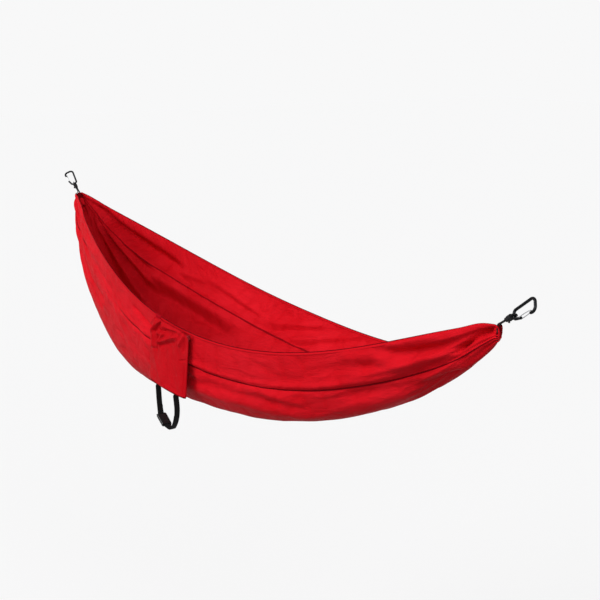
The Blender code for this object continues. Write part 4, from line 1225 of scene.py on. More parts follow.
# %% Ropes and their knots
def knot_pieces(side):
    """Each part's name, its line, its radius and whether it is closed."""
    tail_radii = [ROPE_RADIUS * size for size in (0.95, 1.0, 1.0, 1.0, 1.05, 1.12, 0.75)]
    yield "turns", knot_turns(side), ROPE_RADIUS * 1.02, False
    yield "core", knot_core(side), list(CORE_RADII), False
    yield "eye", knot_eye(side), ROPE_RADIUS, True
    yield "tail", knot_tail(side), tail_radii, False


for end, side in ENDS:
    rope_piece(end, side)
    for part, points, radius, closed in knot_pieces(side):
        piece = round_line(end + "_knot_" + part, points, radius, rope_braid, KNOT_SIDES, closed)
        settle(piece, "bed", "black_rope", end + "_rope_knot")
        print(piece.name, "has", len(points), "stations")

# %% [markdown]
# ## Carabiners
# Each carabiner is a rod of aluminium, bent into a basket, a spine, a bow and a nose,
# then anodised black. A rod could follow a drawn curve, but a maker bends it in runs and
# bends. So we walk along its middle line in a plane, run by run and bend by bend, and
# sweep a round section along it, as the solid was made.

# %% Carabiner finishes
ROD_BLACKS = (0.020, 0.021, 0.023), (0.085, 0.086, 0.090)
WIRE_GREYS = (0.52, 0.53, 0.55), (0.80, 0.81, 0.83)
ROD_RELIEF = 0.00006


def anodised_finish():
    finish = Finish("black anodised aluminium", Metallic=1.0, Roughness=0.34)
    spot = finish.place()
    grain = spot.node("ShaderNodeTexNoise", Vector=spot, Scale=420.0, Detail=3.0)
    wear = spot.node("ShaderNodeTexNoise", Vector=spot, Scale=95.0, Detail=4.0).smooth(0.60, 0.72)
    finish.give("Base Color", (wear * 0.5).mix(*ROD_BLACKS))
    finish.give("Roughness", grain * 0.16 + 0.26)
    finish.relief(grain, ROD_RELIEF)
    return finish


def wire_finish():
    finish = Finish("bright gate wire", Metallic=1.0, Roughness=0.22)
    spot = finish.place()
    drawn = spot.node("ShaderNodeTexNoise", Vector=spot, Scale=260.0, Detail=3.0)
    finish.give("Base Color", drawn.mix(*WIRE_GREYS))
    finish.give("Roughness", drawn * 0.18 + 0.14)
    return finish


anodised = anodised_finish()
bright_wire = wire_finish()
print("carabiner finishes:", anodised.material.name, "and", bright_wire.material.name)


# %% The walk along a rod
RUN_STEP = 0.004
BEND_STEP = math.radians(5)


def heading_vector(heading):
    return Vector((math.cos(heading), math.sin(heading), 0.0))


def walk(heading, moves):
    """Stations (point, heading) of a rod bent in a plane: runs and (radius, turn) bends."""
    point = Vector((0.0, 0.0, 0.0))
    stations = [(point.copy(), heading)]
    for move in moves:
        if isinstance(move, float):
            steps = max(1, round(move / RUN_STEP))
            ahead = heading_vector(heading) * move
            stations += [(point + ahead * (step / steps), heading) for step in range(1, steps + 1)]
            point = point + ahead
            continue
        radius, turn = move
        steps = math.ceil(abs(turn) / BEND_STEP)
        hand = math.copysign(1.0, turn)
        centre = point + Vector((-math.sin(heading), math.cos(heading), 0)) * radius * hand
        for step in range(1, steps + 1):
            arm = Matrix.Rotation(turn * step / steps, 4, "Z") @ (point - centre)
            stations.append((centre + arm, heading + turn * step / steps))
        point = stations[-1][0].copy()
        heading += turn
    return stations


print("a quarter bend of 10 mm ends at", tuple(round(v, 4) for v in walk(0.0, [(0.010, math.pi / 2)])[-1][0]))

# %% Sizes of the carabiner
ROD_RADIUS = ROD_DIAMETER / 2
BASKET_FLAT = 0.004
BASKET_RADIUS = 0.008
SPINE_LEAN = math.radians(5)
BOW_RADIUS = 0.0135
SEAT_LENGTH = 0.010
NOSE_RADIUS = 0.0115
NOSE_LEAN = math.radians(10)
NOSE_LENGTH = 0.005
ARM_LEAN = math.radians(14)
ARM_LENGTH = 0.020
ROD_SIDES = 24
ROUNDING_STEPS = 5
END_ROUNDING = 0.45              # shares of the rod's radius
END_ROUNDING_DEPTH = 0.45
QUARTER = math.pi / 2
SPINE_LENGTH = ((CARABINER_LENGTH - ROD_DIAMETER - BOW_RADIUS * (1 + math.sin(SPINE_LEAN))
                 - BASKET_RADIUS * (1 - math.sin(SPINE_LEAN))) / math.cos(SPINE_LEAN))
SPINE_WALK = walk(-QUARTER, [BASKET_FLAT, (BASKET_RADIUS, QUARTER - SPINE_LEAN), SPINE_LENGTH,
                             (BOW_RADIUS, QUARTER + SPINE_LEAN), SEAT_LENGTH,
                             (NOSE_RADIUS, QUARTER + NOSE_LEAN), NOSE_LENGTH])
ARM_WALK = walk(QUARTER, [BASKET_FLAT, (BASKET_RADIUS, ARM_LEAN - QUARTER), ARM_LENGTH])
print("the rod bends at", len(SPINE_WALK) + len(ARM_WALK) - 1, "stations")


# %% Carabiner rods
def carabiner_frame(side):
    """Carabiner plane to world: +X along the rope, +Y from spine to gate."""
    length = rope_direction(side)
    width = gate_side(side)
    turn = Matrix((length, width, length.cross(width))).transposed().to_4x4()
    return Matrix.Translation(along_rope(side, ROPE_REACH)) @ turn


def rod_ring(station, back=0.0, size=1.0):
    """A ring of the rod, moved back from its station and shrunk where the end is rounded."""
    point, heading = station
    ahead = heading_vector(heading)
    return frame_at(point + ahead * back * END_ROUNDING * ROD_RADIUS, ahead, (0, 0, 1),
                    ROD_RADIUS * (1 - END_ROUNDING_DEPTH + END_ROUNDING_DEPTH * size))


def carabiner_rod(end, side):
    """The rod, swept with a round section from the arm's end to the nose."""
    stations = [(point, heading + math.pi) for point, heading in ARM_WALK[:0:-1]] + SPINE_WALK
    turns = [QUARTER * step / ROUNDING_STEPS for step in range(ROUNDING_STEPS + 1)]
    frames = [rod_ring(stations[0], 1 - math.sin(turn), math.sin(turn)) for turn in turns[:-1]]
    frames += [rod_ring(station) for station in stations[1:-1]]
    frames += [rod_ring(stations[-1], math.sin(turn) - 1, math.cos(turn)) for turn in turns]
    made = finish_mesh(end + "_carabiner_rod", sweep(frames, ROD_SIDES), anodised, 50)
    made.data.transform(carabiner_frame(side))
    settle(made, end + "_carabiner", "anodised_aluminium", end + "_carabiner_body")
    print(made.name, "has", len(made.data.polygons), "faces")


for end, side in ENDS:
    carabiner_rod(end, side)

# %% [markdown]
# ## Gates
# The gate is one length of bright spring wire bent to a narrow hairpin. It rests shut
# inside the nose and swings about the arm's end. Both its ends sit in the arm's hole, so
# it is drawn as a closed loop that passes through the arm, opens to the rod's width and
# closes to a narrow bar. Cutting the corners off a plain outline again and again gives
# it the soft bends of spring wire.

# %% Gate wires
GATE_SETBACK = 0.003
GATE_OVERLAP = 0.003
GATE_WIRE = 0.0022
GATE_END_HALF_WIDTH = 0.0032
GAP = 0.0003


def gate_points():
    arm_end, arm_heading = ARM_WALK[-1]
    pivot = arm_end - heading_vector(arm_heading) * GATE_SETBACK
    nose_end, nose_heading = SPINE_WALK[-1]
    back = heading_vector(nose_heading)
    inward = Vector((-back.y, back.x, 0.0))
    rest = ROD_RADIUS + GATE_WIRE / 2 + GAP
    return pivot, nose_end - back * GATE_OVERLAP + inward * rest


def rounded(points, rounds):
    """A closed line with its corners cut again and again, until they are round."""
    for _ in range(rounds):
        cut = []
        for index, point in enumerate(points):
            following = points[(index + 1) % len(points)]
            cut += [point.lerp(following, 0.25), point.lerp(following, 0.75)]
        points = cut
    return points


def gate_wire(end, side):
    pivot, rest = gate_points()
    along = (rest - pivot).normalized()
    reach = (rest - pivot).length
    wide = ROD_RADIUS + GATE_WIRE / 2 + GAP
    corner = GATE_WIRE
    half = [(0.0, 0.0), (0.0, wide - corner), (0.3 * corner, wide - 0.3 * corner),
            (corner, wide), (0.45 * reach, wide), (0.8 * reach, GATE_END_HALF_WIDTH + 0.0008),
            (reach - corner, GATE_END_HALF_WIDTH), (reach, GATE_END_HALF_WIDTH - 0.2 * corner), (reach, 0.0)]
    outline = half + [(x, -z) for x, z in half[-2:0:-1]]
    points = rounded([pivot + along * x + Vector((0, 0, z)) for x, z in outline], 2)
    made = round_line(end + "_gate_wire", points, GATE_WIRE / 2, bright_wire, 12, closed=True)
    made.data.transform(carabiner_frame(side))
    settle(made, end + "_gate", "gate_wire", end + "_carabiner_gate")
    print(made.name, "reaches", round(reach, 4), "m from its pivot")


for end, side in ENDS:
    gate_wire(end, side)

# %% [markdown]
# ## Stuff sack
# The empty sack hangs from the front rim by its drawn-up mouth. It is one soft shell:
# flat under the collar, fuller at its base, where it still has the shape of the round
# packed hammock. Two flat panels with a gap would look like card, so the shell is lofted
# in rows that close at both sides. The front is then lifted by the folds that the mouth
# takes where it is sewn to the tab, each placed as one line, and by a faint fan of
# creases, a slack belly and a fine crumple.

# %% Sizes of the sack
TAB_X = -0.047
TAB_WIDTH = 0.036
TAB_THICKNESS = 0.0012
TAB_REACH = 0.012
SACK_X = 0.030
SACK_WIDTH = 0.270
SACK_HEIGHT = 0.190
SACK_TOP_DEPTH = 0.008
SACK_BASE_DEPTH = 0.026
BASE_WIDTH = 0.250
sack_low, sack_high = (Vector(corner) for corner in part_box("sack_body"))
collar_low, collar_high = (Vector(corner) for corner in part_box("sack_collar"))
SACK_BACK_Y = sack_high.y
SACK_TOP = sack_high.z
SACK_BOTTOM = sack_low.z
COLLAR_TOP = collar_high.z
COLLAR_BOTTOM = collar_low.z
MOUTH_Y = (collar_low.y + collar_high.y) / 2
print("the sack hangs from", round(COLLAR_TOP, 4), "to", round(SACK_BOTTOM, 4))

# %% Folds of the mouth
HIGHEST_FOLD = 0.0120
DEEPEST_FOLD = -0.0045
FREE_DROP = 0.003                # below the collar's top, where folds may begin to rise
FREE_SLOPE = 0.30
MOUTH_FOLDS = (
    # each fold: x and z where it starts, x and z where it ends, height, half width
    # the strip that runs down from the tab to the left corner, and the shade beside it
    (-0.100, -0.382, -0.034, -0.331, 0.0094, 0.0095), (-0.068, -0.374, -0.019, -0.337, -0.0101, 0.0065),
    # the lozenge under the tab and the flat fold to its right
    (-0.040, -0.374, 0.004, -0.363, 0.0087, 0.0080), (0.006, -0.366, -0.033, -0.402, 0.0080, 0.0065),
    (-0.026, -0.402, 0.096, -0.354, 0.0080, 0.0080), (-0.018, -0.412, 0.080, -0.378, -0.0043, 0.0070),
    (-0.021, -0.363, 0.096, -0.343, -0.0101, 0.0065), (-0.005, -0.337, 0.117, -0.331, 0.0080, 0.0090),
    # the slack flap at the left and its edges
    (-0.078, -0.388, -0.082, -0.424, 0.0087, 0.0180), (-0.040, -0.378, -0.044, -0.428, -0.0080, 0.0050),
    (-0.104, -0.438, -0.046, -0.431, -0.0043, 0.0060),
    # gathers round the cord's knot, and the creases of the empty body
    (0.143, -0.345, 0.114, -0.378, 0.0065, 0.0070), (0.150, -0.348, 0.140, -0.392, -0.0051, 0.0060),
    (0.119, -0.431, 0.160, -0.417, -0.0032, 0.0040), (0.150, -0.437, 0.148, -0.535, -0.0036, 0.0035),
    (-0.060, -0.462, 0.020, -0.540, 0.0029, 0.0160), (0.060, -0.400, 0.096, -0.520, -0.0026, 0.0180),
)


def mouth_lift(x, z):
    """How far the folds round the drawn mouth lift the sack's front at a place.

    Just under the collar's top they stay low, or they would meet the bed as the sack
    swings up."""
    lift = 0.0
    for from_x, from_z, to_x, to_z, height, width in MOUTH_FOLDS:
        run_x, run_z = to_x - from_x, to_z - from_z
        share = ((x - from_x) * run_x + (z - from_z) * run_z) / (run_x ** 2 + run_z ** 2)
        share = max(0.0, min(1.0, share))
        away = math.hypot(x - from_x - run_x * share, z - from_z - run_z * share)
        lift += height * math.exp(-(away / width) ** 1.6)
    free = FREE_SLOPE * max(0.0, COLLAR_TOP - z - FREE_DROP)
    return min(HIGHEST_FOLD, free, max(lift, DEEPEST_FOLD))


print("mouth folds", len(MOUTH_FOLDS))

# %% Sack shell
CORNER_DROP = 0.014
SACK_SAG = 0.0035
SACK_EDGE = 0.30                 # the side seams' share of the depth at the top
SACK_BELLY = 0.0030
BELLY_AT = (0.70, 0.24)
SACK_COLUMNS = 150
SACK_ROWS = 120
SACK_CLOTH = 0.0005


def sack_depth(down):
    return SACK_TOP_DEPTH + (SACK_BASE_DEPTH - SACK_TOP_DEPTH) * down ** 1.5


def sack_creases(u, down):
    """How far the front stands out at a spot: a fan of folds, a belly and a crumple."""
    root = Vector((-0.45, -0.06))
    arm = Vector((u, down * 1.35)) - root
    angle = math.atan2(arm.x, arm.y)
    near = math.exp(-arm.length / 0.62)
    fan = math.sin(angle * 9.0 + 0.5) * 0.0030 + math.sin(angle * 16.0 + 1.9) * 0.0014
    slack = SACK_BELLY * bump(down, *BELLY_AT) * math.cos(u * 1.5)
    drape = 0.0013 * math.sin(3.4 * u + 2.2 * down + 0.6) + 0.0008 * math.sin(7.1 * u - 5.0 * down)
    crumple = noise.fractal(Vector((u * 2.4, down * 3.0, 4.2)), 0.9, 2.1, 4) * 0.0011
    edge = (1 - abs(u) ** 6) * min(1.0, down / 0.05 + 0.15) * min(1.0, (1 - down) / 0.04 + 0.1)
    return (fan * near * 0.25 + slack + drape + crumple) * edge


def sack_side(u, down, front):
    """A spot on the sack's front or back, before the cloth's own thickness."""
    depth = sack_depth(down)
    rounding = (1 - abs(u) ** 2.9) ** 0.5 if abs(u) < 1 else 0.0
    edge_depth = SACK_EDGE * SACK_TOP_DEPTH
    half = edge_depth + (depth - edge_depth) * rounding
    middle = SACK_BACK_Y - depth / 2
    narrowing = 1 - 0.020 * math.sin(math.pi * down) + 0.004 * math.sin(9 * down + (2 if u > 0 else 0))
    x = SACK_X + SACK_WIDTH / 2 * u * narrowing
    sag = SACK_SAG * (1 - u * u) * down * down
    x += max(0.0, u) * (0.005 - 0.010 * down)
    z = SACK_TOP - (SACK_HEIGHT - 0.004) * down - sag + 0.0010 * math.sin(5 * u) * down
    z -= CORNER_DROP * max(0.0, (-u - 0.55) / 0.45) ** 1.3 * (1 - down) ** 4
    if front:
        sewn = 1 - abs(u) ** 10
        return Vector((x, middle - half / 2 - sack_creases(u, down) - mouth_lift(x, z) * sewn, z))
    return Vector((x, middle + half / 2 - 0.0006, z))


sack_shell = finish_mesh("sack_shell", loft(SACK_ROWS, SACK_COLUMNS, sack_side), sack_nylon, 75)
thicken(sack_shell, SACK_CLOTH, -1.0)
settle(sack_shell, "sack", "red_nylon", "sack_body")
print("sack shell", len(sack_shell.data.polygons), "faces")

# %% [markdown]
# ## Collar
# The sack's mouth is a channel with a cord in it. Drawn up, the cloth above and below
# the channel stands in upright pleats, and the whole mouth leans towards the tab that
# ties it to the rim. The collar is lofted as the shell is, with pleats that deepen
# towards its top, and the shell's own folds run on into it.

# %% Collar
TAB_SEAM_DROP = 0.0038
COLLAR_COLUMNS = 180
COLLAR_ROWS = 26
PLEATS = 17


def collar_top(x):
    """Height of the mouth's upper edge: highest at the tab, falling to both sides."""
    half = SACK_WIDTH / 2
    corners = [(SACK_X - half, -0.0335), (SACK_X - half + 0.020, -0.019), (TAB_X - TAB_WIDTH / 2, 0.0),
               (TAB_X + TAB_WIDTH / 2, 0.0), (TAB_X + TAB_WIDTH, -0.004), (SACK_X + half - 0.045, -0.008),
               (SACK_X + half - 0.010, -0.016), (SACK_X + half, -0.022)]
    place = min(max(bisect.bisect_right([spot for spot, _ in corners], x), 1), len(corners) - 1)
    (left, low), (right, high) = corners[place - 1], corners[place]
    share = min(max((x - left) / (right - left), 0.0), 1.0)
    return COLLAR_TOP + low + (high - low) * share


def pleat(u, up):
    """Lift of the gathers, with sharp crests, and a tuck at the cord's channel."""
    phase = PLEATS * math.pi * (u * 0.5 + 0.03 * math.sin(5.0 * u) + 0.05 * up * math.sin(2.0 * u))
    crest = (1 - abs(math.sin(phase))) ** 1.6
    big = math.sin(3.2 * u + 1.1) * math.sin(math.pi * up * 0.9)
    channel = bump(up, 0.78, 0.055) + 0.8 * bump(up, 0.30, 0.05)
    puff = math.sin(math.pi * min(max((up - 0.30) / 0.48, 0.0), 1.0))
    return 0.0026 * crest * (0.25 + 0.75 * up) + 0.0012 * big + 0.0014 * puff - 0.0011 * channel


def collar_spot(u, up, front):
    """A spot on the mouth. Where it is sewn to the tab it is low and thin, so that it can swing."""
    x = SACK_X + (SACK_WIDTH / 2 - 0.003 * up) * u
    under_tab = math.exp(-(abs(x - TAB_X) / (0.62 * TAB_WIDTH)) ** 6)
    top = collar_top(x) - TAB_SEAM_DROP * under_tab
    z = COLLAR_BOTTOM - 0.002 + (top - COLLAR_BOTTOM + 0.002) * up
    rounding = (1 - abs(u) ** 4) ** 0.5 if abs(u) < 1 else 0.0
    half = 0.0012 + (SACK_TOP_DEPTH / 2 - 0.0014) * rounding * (1 - 0.35 * up ** 6)
    edge = (1 - abs(u) ** 8)
    near_top = max(0.0, min(1.0, (z - COLLAR_TOP) / 0.006 + 1.9))
    thin = 1 - 0.8 * under_tab * near_top
    x += max(0.0, u) * 0.005
    if front:
        return Vector((x, MOUTH_Y - thin * (half + (pleat(u, up) * 0.35 + mouth_lift(x, z)) * edge), z))
    return Vector((x, MOUTH_Y + half * thin, z))


collar = finish_mesh("sack_gathered_mouth", loft(COLLAR_ROWS, COLLAR_COLUMNS, collar_spot), sack_nylon, 60)
thicken(collar, SACK_CLOTH, -1.0)
settle(collar, "sack", "red_nylon", "sack_collar")
print("collar", len(collar.data.polygons), "faces")

# %% [markdown]
# ## Tab over the rim
# One doubled strip is folded over the rim and sewn to the sack's mouth, which ties the
# sack to the bed. It has to follow the rim's own curve, so its middle line is drawn
# afresh at thirteen places along the rim and bridged from each to the next.

# %% Tab
TAB_ROWS = 13
TAB_OVERLAP = 0.004              # how far the tab reaches down over the collar
tab_low = Vector(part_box("sack_tab")[0])


def tab_strip():
    """The strip's middle line at places along the rim, bridged from one to the next."""
    inside = CLOTH / 2 + GAP + TAB_THICKNESS / 2
    outside = tab_low.y + TAB_THICKNESS / 2 - bed_spot(TAB_X, 0.0)[0].y
    drop = COLLAR_TOP - TAB_OVERLAP
    rows = []
    for row in range(TAB_ROWS):
        x = TAB_X + TAB_WIDTH * (row / (TAB_ROWS - 1) - 0.5)
        rim = bed_spot(x, 0.0)[0]
        wave = 0.0005 * math.sin(row * 1.7)
        profile = [(inside, -TAB_REACH), (inside, -0.5 * TAB_REACH), (inside + wave, 0.0),
                   (inside * 0.6, 0.0009), (0.0, 0.0014), (outside * 0.5, 0.0013),
                   (outside * 0.8, 0.0007), (outside, -0.0012),
                   (outside + wave, (drop - rim.z) * 0.5), (outside, drop - rim.z)]
        rows.append([Vector((x, rim.y + y, rim.z + z)) for y, z in profile])
    bm = bmesh.new()
    before = None
    places = {}
    for row in rows:
        verts = [bm.verts.new(spot) for spot in row]
        for vert, (y, z) in zip(verts, profile):
            places[vert] = (z - TAB_REACH - y, vert.co.x - TAB_X)
        edges = [bm.edges.new(pair) for pair in zip(verts, verts[1:])]
        if before:
            bmesh.ops.bridge_loops(bm, edges=before + edges)
        before = edges
    bmesh.ops.recalc_face_normals(bm, faces=bm.faces)
    write_run(bm, places)
    return bm


tab = finish_mesh("sack_rim_tab", tab_strip(), tab_tape, 60)
thicken(tab, TAB_THICKNESS)
rounding = tab.modifiers.new("soft", "SUBSURF")
rounding.levels = rounding.render_levels = 1
settle(tab, "bed", "deep_red_nylon", "sack_tab")
print("tab reaches down to", round(min(v.co.z for v in tab.data.vertices), 4))

# %% [markdown]
# ## Base of the sack
# The base is an oval panel sewn into the bottom, with a seam allowance that stands out
# round it. A flat disc would do unseen, but it sags and the strap hangs under it. So a
# filled circle is inset into rings that can sag, and the seam is a band swept round it.

# %% Base panel
BASE_SIDES = 72
BASE_CLOTH = 0.0012
SEAM_STEPS = 96
SEAM_SIDES = 10
SEAM_HALF_SIZE = (0.0022, 0.0010)
base_low, base_high = (Vector(corner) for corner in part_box("sack_base"))
BASE_Y = (base_low.y + base_high.y) / 2


def base_panel():
    """The oval: a filled circle, inset into rings that sag towards the middle."""
    bm = bmesh.new()
    bmesh.ops.create_circle(bm, segments=BASE_SIDES, radius=1.0, cap_ends=True)
    for share in (0.10, 0.16, 0.3):
        inner = max(bm.faces, key=lambda face: len(face.verts))
        bmesh.ops.inset_individual(bm, faces=[inner], thickness=share)
    for vert in bm.verts:
        reach = min(vert.co.length, 1.0)
        sag = 0.0028 * (1 - reach ** 2) + 0.0006 * math.sin(9 * vert.co.x + 2) * (1 - reach)
        vert.co = Vector((SACK_X + BASE_WIDTH / 2 * vert.co.x,
                          BASE_Y + SACK_BASE_DEPTH / 2 * vert.co.y, base_high.z - 0.0004 - sag * 0.35))
    bmesh.ops.recalc_face_normals(bm, faces=bm.faces)
    write_run(bm, {vert: (vert.co.x, vert.co.y) for vert in bm.verts})
    return bm


base = finish_mesh("sack_base_panel", base_panel(), sack_nylon, 60)
thicken(base, BASE_CLOTH)
settle(base, "sack", "red_nylon", "sack_base")

seam_path = []
for step in range(SEAM_STEPS):
    turn = 2 * math.pi * step / SEAM_STEPS
    seam_path.append(Vector((SACK_X + (BASE_WIDTH / 2 + 0.0004) * math.cos(turn),
                             BASE_Y + (SACK_BASE_DEPTH / 2 - 0.0002) * math.sin(turn), base_high.z)))
seam_rings = path_frames(seam_path, (0, 0, 1), *SEAM_HALF_SIZE, closed=True)
# the base seam takes the front seam's finish, painted dark as shadow
base_seam = finish_mesh("sack_base_seam", sweep(seam_rings, SEAM_SIDES, closed=True), seam_shadow_tape, 60)
settle(base_seam, "sack", "deep_red_nylon")
print("base panel", len(base.data.polygons), "faces, seam", len(base_seam.data.polygons))

# %% [markdown]
# ## Drawcord
# A thin red cord runs through the channel. It is sewn in at the far side and comes out
# at the near side in an overhand knot, which keeps it from slipping back. The knot could
# be a ball, but its crossings show. So it is a trefoil, the closed curve that an
# overhand knot makes when its ends are joined, with two short tails of its own.

# %% Drawcord and knot
CORD_DIAMETER = 0.0030
CORD_STEPS = 40
CORD_SIDES = 12
TREFOIL_STEPS = 90
TREFOIL_SIZE = 0.0016
TREFOIL_RADIUS = 0.0021
CORD_REDS = (0.42, 0.003, 0.010), (0.16, 0.0015, 0.005)
CORD_PITCH = 0.0055
CORD_STRANDS = 7
CORD_RELIEF = 0.0004
cord_braid = braid("red braided cord", *CORD_REDS, CORD_PITCH, CORD_STRANDS, CORD_RELIEF)
cord_low, cord_high = (Vector(corner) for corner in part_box("drawcord"))
knot_low, knot_high = (Vector(corner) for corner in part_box("drawcord_knot"))
knot_middle = (knot_low + knot_high) / 2


def cord_piece(name, points, radius, *nodes, closed=False):
    made = round_line(name, points, radius, cord_braid, CORD_SIDES, closed=closed)
    settle(made, "sack_cord", "red_cord", *nodes)


def trefoil(step):
    t = 2 * math.pi * step / TREFOIL_STEPS
    loose = Vector((math.sin(3 * t) * 1.25, math.sin(t) + 2 * math.sin(2 * t),
                    math.cos(t) - 2 * math.cos(2 * t)))
    return knot_middle + loose * TREFOIL_SIZE


def cord_tail(lean, reach):
    ahead = Vector(lean).normalized()
    return [knot_middle + ahead * reach * share + Vector((0.0006 * math.sin(4 * share), 0, 0))
            for share in (0.1, 0.3, 0.5, 0.7, 0.85, 0.95, 1.0)]


CORD_Z = (cord_low.z + cord_high.z) / 2
CORD_Y = (cord_low.y + cord_high.y) / 2
CORD_RUN = cord_high.x - cord_low.x
TAIL_RADII = [0.0015] * 5 + [0.0016, 0.0011]
cord_piece("drawcord_in_channel", [Vector((cord_low.x + CORD_RUN * step / CORD_STEPS, CORD_Y, CORD_Z))
                                   for step in range(CORD_STEPS + 1)], CORD_DIAMETER / 2, "drawcord")
cord_piece("drawcord_overhand_knot", [trefoil(step) for step in range(TREFOIL_STEPS)], TREFOIL_RADIUS,
           "drawcord_knot", closed=True)
cord_piece("drawcord_tail_front", cord_tail((0.35, -0.30, -1.0), 0.016), TAIL_RADII)
cord_piece("drawcord_tail_back", cord_tail((0.75, 0.05, -0.8), 0.011), TAIL_RADII)
print("drawcord", round(CORD_RUN, 3), "m in its channel")

# %% [markdown]
# ## Webbing
# The strap is flat black webbing, woven in fine ribs along its length with a rounded
# selvedge at each side. A bent box would have sharp edges, so we sweep a flat section
# with round corners along a path in the XZ plane, down from the sack's base, round the
# buckle's bar and back up along itself. The finish reads its weave from the metres along
# the strip and its place across it.

# %% Webbing finish
RIB_PITCH = 0.0011
PICK_PITCH = 0.0013
WEB_RELIEF = 0.00022
WEB_BLACKS = (0.010, 0.010, 0.011), (0.003, 0.003, 0.0032)


def woven(name, light, dark):
    finish = Finish(name, Roughness=0.74, IOR=1.25)
    along = finish.along_and_across().split()[0]
    across = finish.place().split()[1]
    ribs = across.wave(RIB_PITCH)
    picks = (along / PICK_PITCH + (across / RIB_PITCH).math("FLOOR") * 0.5).wave(1.0)
    fibre = finish.start.node("ShaderNodeTexNoise", Vector=finish.place(), Scale=1400.0, Detail=2.0)
    height = ribs * 0.55 + picks * 0.35 + fibre * 0.25
    finish.relief(height, WEB_RELIEF)
    # the colour is painted darker in the weave's hollows, as shade
    finish.give("Base Color", (height * 0.8).mix(dark, light))
    finish.give("Roughness", fibre * 0.2 + 0.62)
    return finish


web_weave = woven("black woven webbing", *WEB_BLACKS)
print(web_weave.material.name, "has ribs every", RIB_PITCH, "m")

# %% Strap sizes
WEB_WIDTH = 0.020
WEB_THICKNESS = 0.0015
STRAP_X = 0.0215
STRAP_HALF_SPREAD = 0.0645
BASE_WEB_OVERHANG = 0.008
BUCKLE_DIP = math.radians(30)
BAR_RADIUS = 0.0013
BAR_OFFSET = 0.0042
SOCKET_LENGTH = 0.034
PLUG_LENGTH = 0.010
SOCKET_BAR_X = -0.030
SOCKET_BAR_BELOW_BASE = 0.109
WRAP_RADIUS = BAR_RADIUS * math.sqrt(2) + GAP + WEB_THICKNESS / 2
LAYER = WEB_THICKNESS + GAP
LEG_TOP = base_low.z - 2 * GAP - WEB_THICKNESS
SOCKET_BAR = (SOCKET_BAR_X, base_low.z - SOCKET_BAR_BELOW_BASE)
BAR_TO_BAR = 2 * BAR_OFFSET + SOCKET_LENGTH + GAP + PLUG_LENGTH
PLUG_BAR = (SOCKET_BAR[0] + BAR_TO_BAR * math.cos(BUCKLE_DIP),
            SOCKET_BAR[1] - BAR_TO_BAR * math.sin(BUCKLE_DIP))
WEB_SIDES = 24
WEB_POWER = 7.0
print("bars of the buckle at", [round(value, 4) for value in SOCKET_BAR + PLUG_BAR])


def arc(centre, radius, start, stop, steps):
    turns = [math.radians(start + (stop - start) * step / steps) for step in range(steps + 1)]
    return [(centre[0] + radius * math.cos(turn), centre[1] + radius * math.sin(turn)) for turn in turns]


def curve_through(points, steps):
    """A Catmull-Rom curve through the points, with some steps between each two."""
    line = [Vector(point) for point in points]
    line = [line[0] * 2 - line[1]] + line + [line[-1] * 2 - line[-2]]
    made = []
    for before, start, end, after in zip(line, line[1:], line[2:], line[3:]):
        for step in range(steps):
            t = step / steps
            made.append(0.5 * (2 * start + (end - before) * t
                               + (2 * before - 5 * start + 4 * end - after) * t * t
                               + (3 * start - before - 3 * end + after) * t ** 3))
    return made + [line[-2]]


def leg_start(x, lean):
    return [(x + lean * drop, LEG_TOP - drop) for drop in (0.0, 0.0008, 0.0025, 0.005, 0.010)]


# %% Webbing
def webbing(name, path, body, node, rounded_start=False):
    """Flat webbing along a path in X and Z, its width along Y."""
    line = [Vector((x, BASE_Y, z)) for x, z in curve_through(path, 4)]
    top = line[0].z
    wide = []
    for spot in line:
        half = WEB_WIDTH / 2
        below = top - spot.z
        if rounded_start and below < half:
            half = math.sqrt(max(half ** 2 - (half - below) ** 2, (0.25 * half) ** 2))
        wide.append(half)
    rings = path_frames(line, (0, 1, 0), wide, WEB_THICKNESS / 2)
    made = finish_mesh(name, sweep(rings, WEB_SIDES, power=WEB_POWER), web_weave, 60)
    settle(made, body, "black_webbing", node)
    length = sum((b - a).length for a, b in zip(line, line[1:]))
    print(name, "is", round(length, 3), "m of webbing")


# %% Straps and strip
def left_strap():
    left = STRAP_X - STRAP_HALF_SPREAD
    down_x = SOCKET_BAR[0] - WRAP_RADIUS
    span = LEG_TOP - SOCKET_BAR[1]
    leg = leg_start(left, 0.02)
    for share, bow in ((0.3, -0.0015), (0.55, -0.0020), (0.8, -0.0010)):
        leg.append((left + (down_x - left) * share + bow, LEG_TOP - span * share))
    rise = [(down_x + LAYER + 0.0012, SOCKET_BAR[1] + 0.006), (down_x + LAYER, SOCKET_BAR[1] + 0.011)]
    slope = (down_x - left) / span
    for height in (0.020, 0.030):
        rise.append((down_x - slope * height + LAYER - 0.0006, SOCKET_BAR[1] + height))
    return leg + arc(SOCKET_BAR, WRAP_RADIUS, 180, 360, 8) + rise


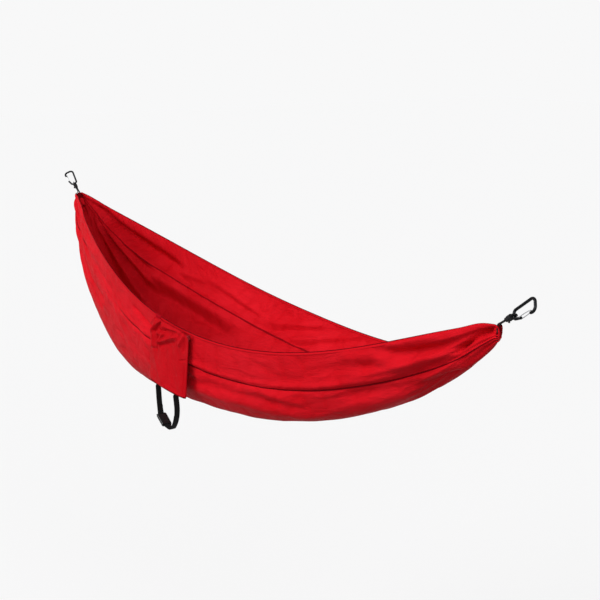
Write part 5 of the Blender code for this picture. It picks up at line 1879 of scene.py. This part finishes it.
def right_strap():
    right = STRAP_X + STRAP_HALF_SPREAD
    dip = math.degrees(BUCKLE_DIP)
    bend = [(right + 0.0045, LEG_TOP - 0.030), (right + 0.0070, LEG_TOP - 0.052),
            (right + 0.0045, LEG_TOP - 0.076), (right - 0.0040, LEG_TOP - 0.099),
            (right - 0.0180, LEG_TOP - 0.121), (right - 0.0360, LEG_TOP - 0.1365)]
    back = []
    for (x, z), (next_x, next_z) in zip(bend[:0:-1], bend[-2::-1]):
        run = math.hypot(next_x - x, next_z - z)
        back.append((x - (next_z - z) / run * LAYER, z + (next_x - x) / run * LAYER))
    return (leg_start(right, 0.06) + bend + arc(PLUG_BAR, WRAP_RADIUS, -90 - dip, -270 - dip, 8)
            + back[:4])


def base_strip():
    half = STRAP_HALF_SPREAD + BASE_WEB_OVERHANG
    level = base_low.z - GAP - WEB_THICKNESS / 2
    return [(STRAP_X + half * share, level) for share in (-1.0, -0.5, 0.0, 0.5, 1.0)]


webbing("left_woven_strap", left_strap(), "strap", "left_webbing", True)
webbing("right_woven_strap", right_strap(), "strap", "right_webbing", True)
webbing("base_woven_strip", base_strip(), "sack", "base_webbing")

# %% [markdown]
# ## Buckle
# The side-release buckle is moulded nylon with a fine matt grain. It could be built anew
# as the soft pieces were, but its solids already have the right form. So they keep it,
# and only their material slots get this finish.

# %% Moulded plastic
PLASTIC_BLACKS = (0.006, 0.006, 0.0065), (0.012, 0.012, 0.013)
PLASTIC_RELIEF = 0.00004


def moulded(name):
    finish = Finish(name, Roughness=0.42, IOR=1.45)
    spot = finish.place()
    grain = spot.node("ShaderNodeTexNoise", Vector=spot, Scale=1600.0, Detail=2.0)
    cloud = spot.node("ShaderNodeTexNoise", Vector=spot, Scale=90.0, Detail=3.0)
    finish.relief(grain, PLASTIC_RELIEF)
    finish.give("Base Color", cloud.mix(*PLASTIC_BLACKS))
    finish.give("Roughness", cloud * 0.18 + 0.34)
    return finish


buckle_plastic = moulded("black moulded nylon")
for node in ("buckle_socket", "buckle_plug", "front_buckle_prong", "rear_buckle_prong"):
    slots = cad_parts[node].data.materials
    for number in range(len(slots)):
        slots[number] = buckle_plastic.material
    print(node, "has", len(slots), "material")
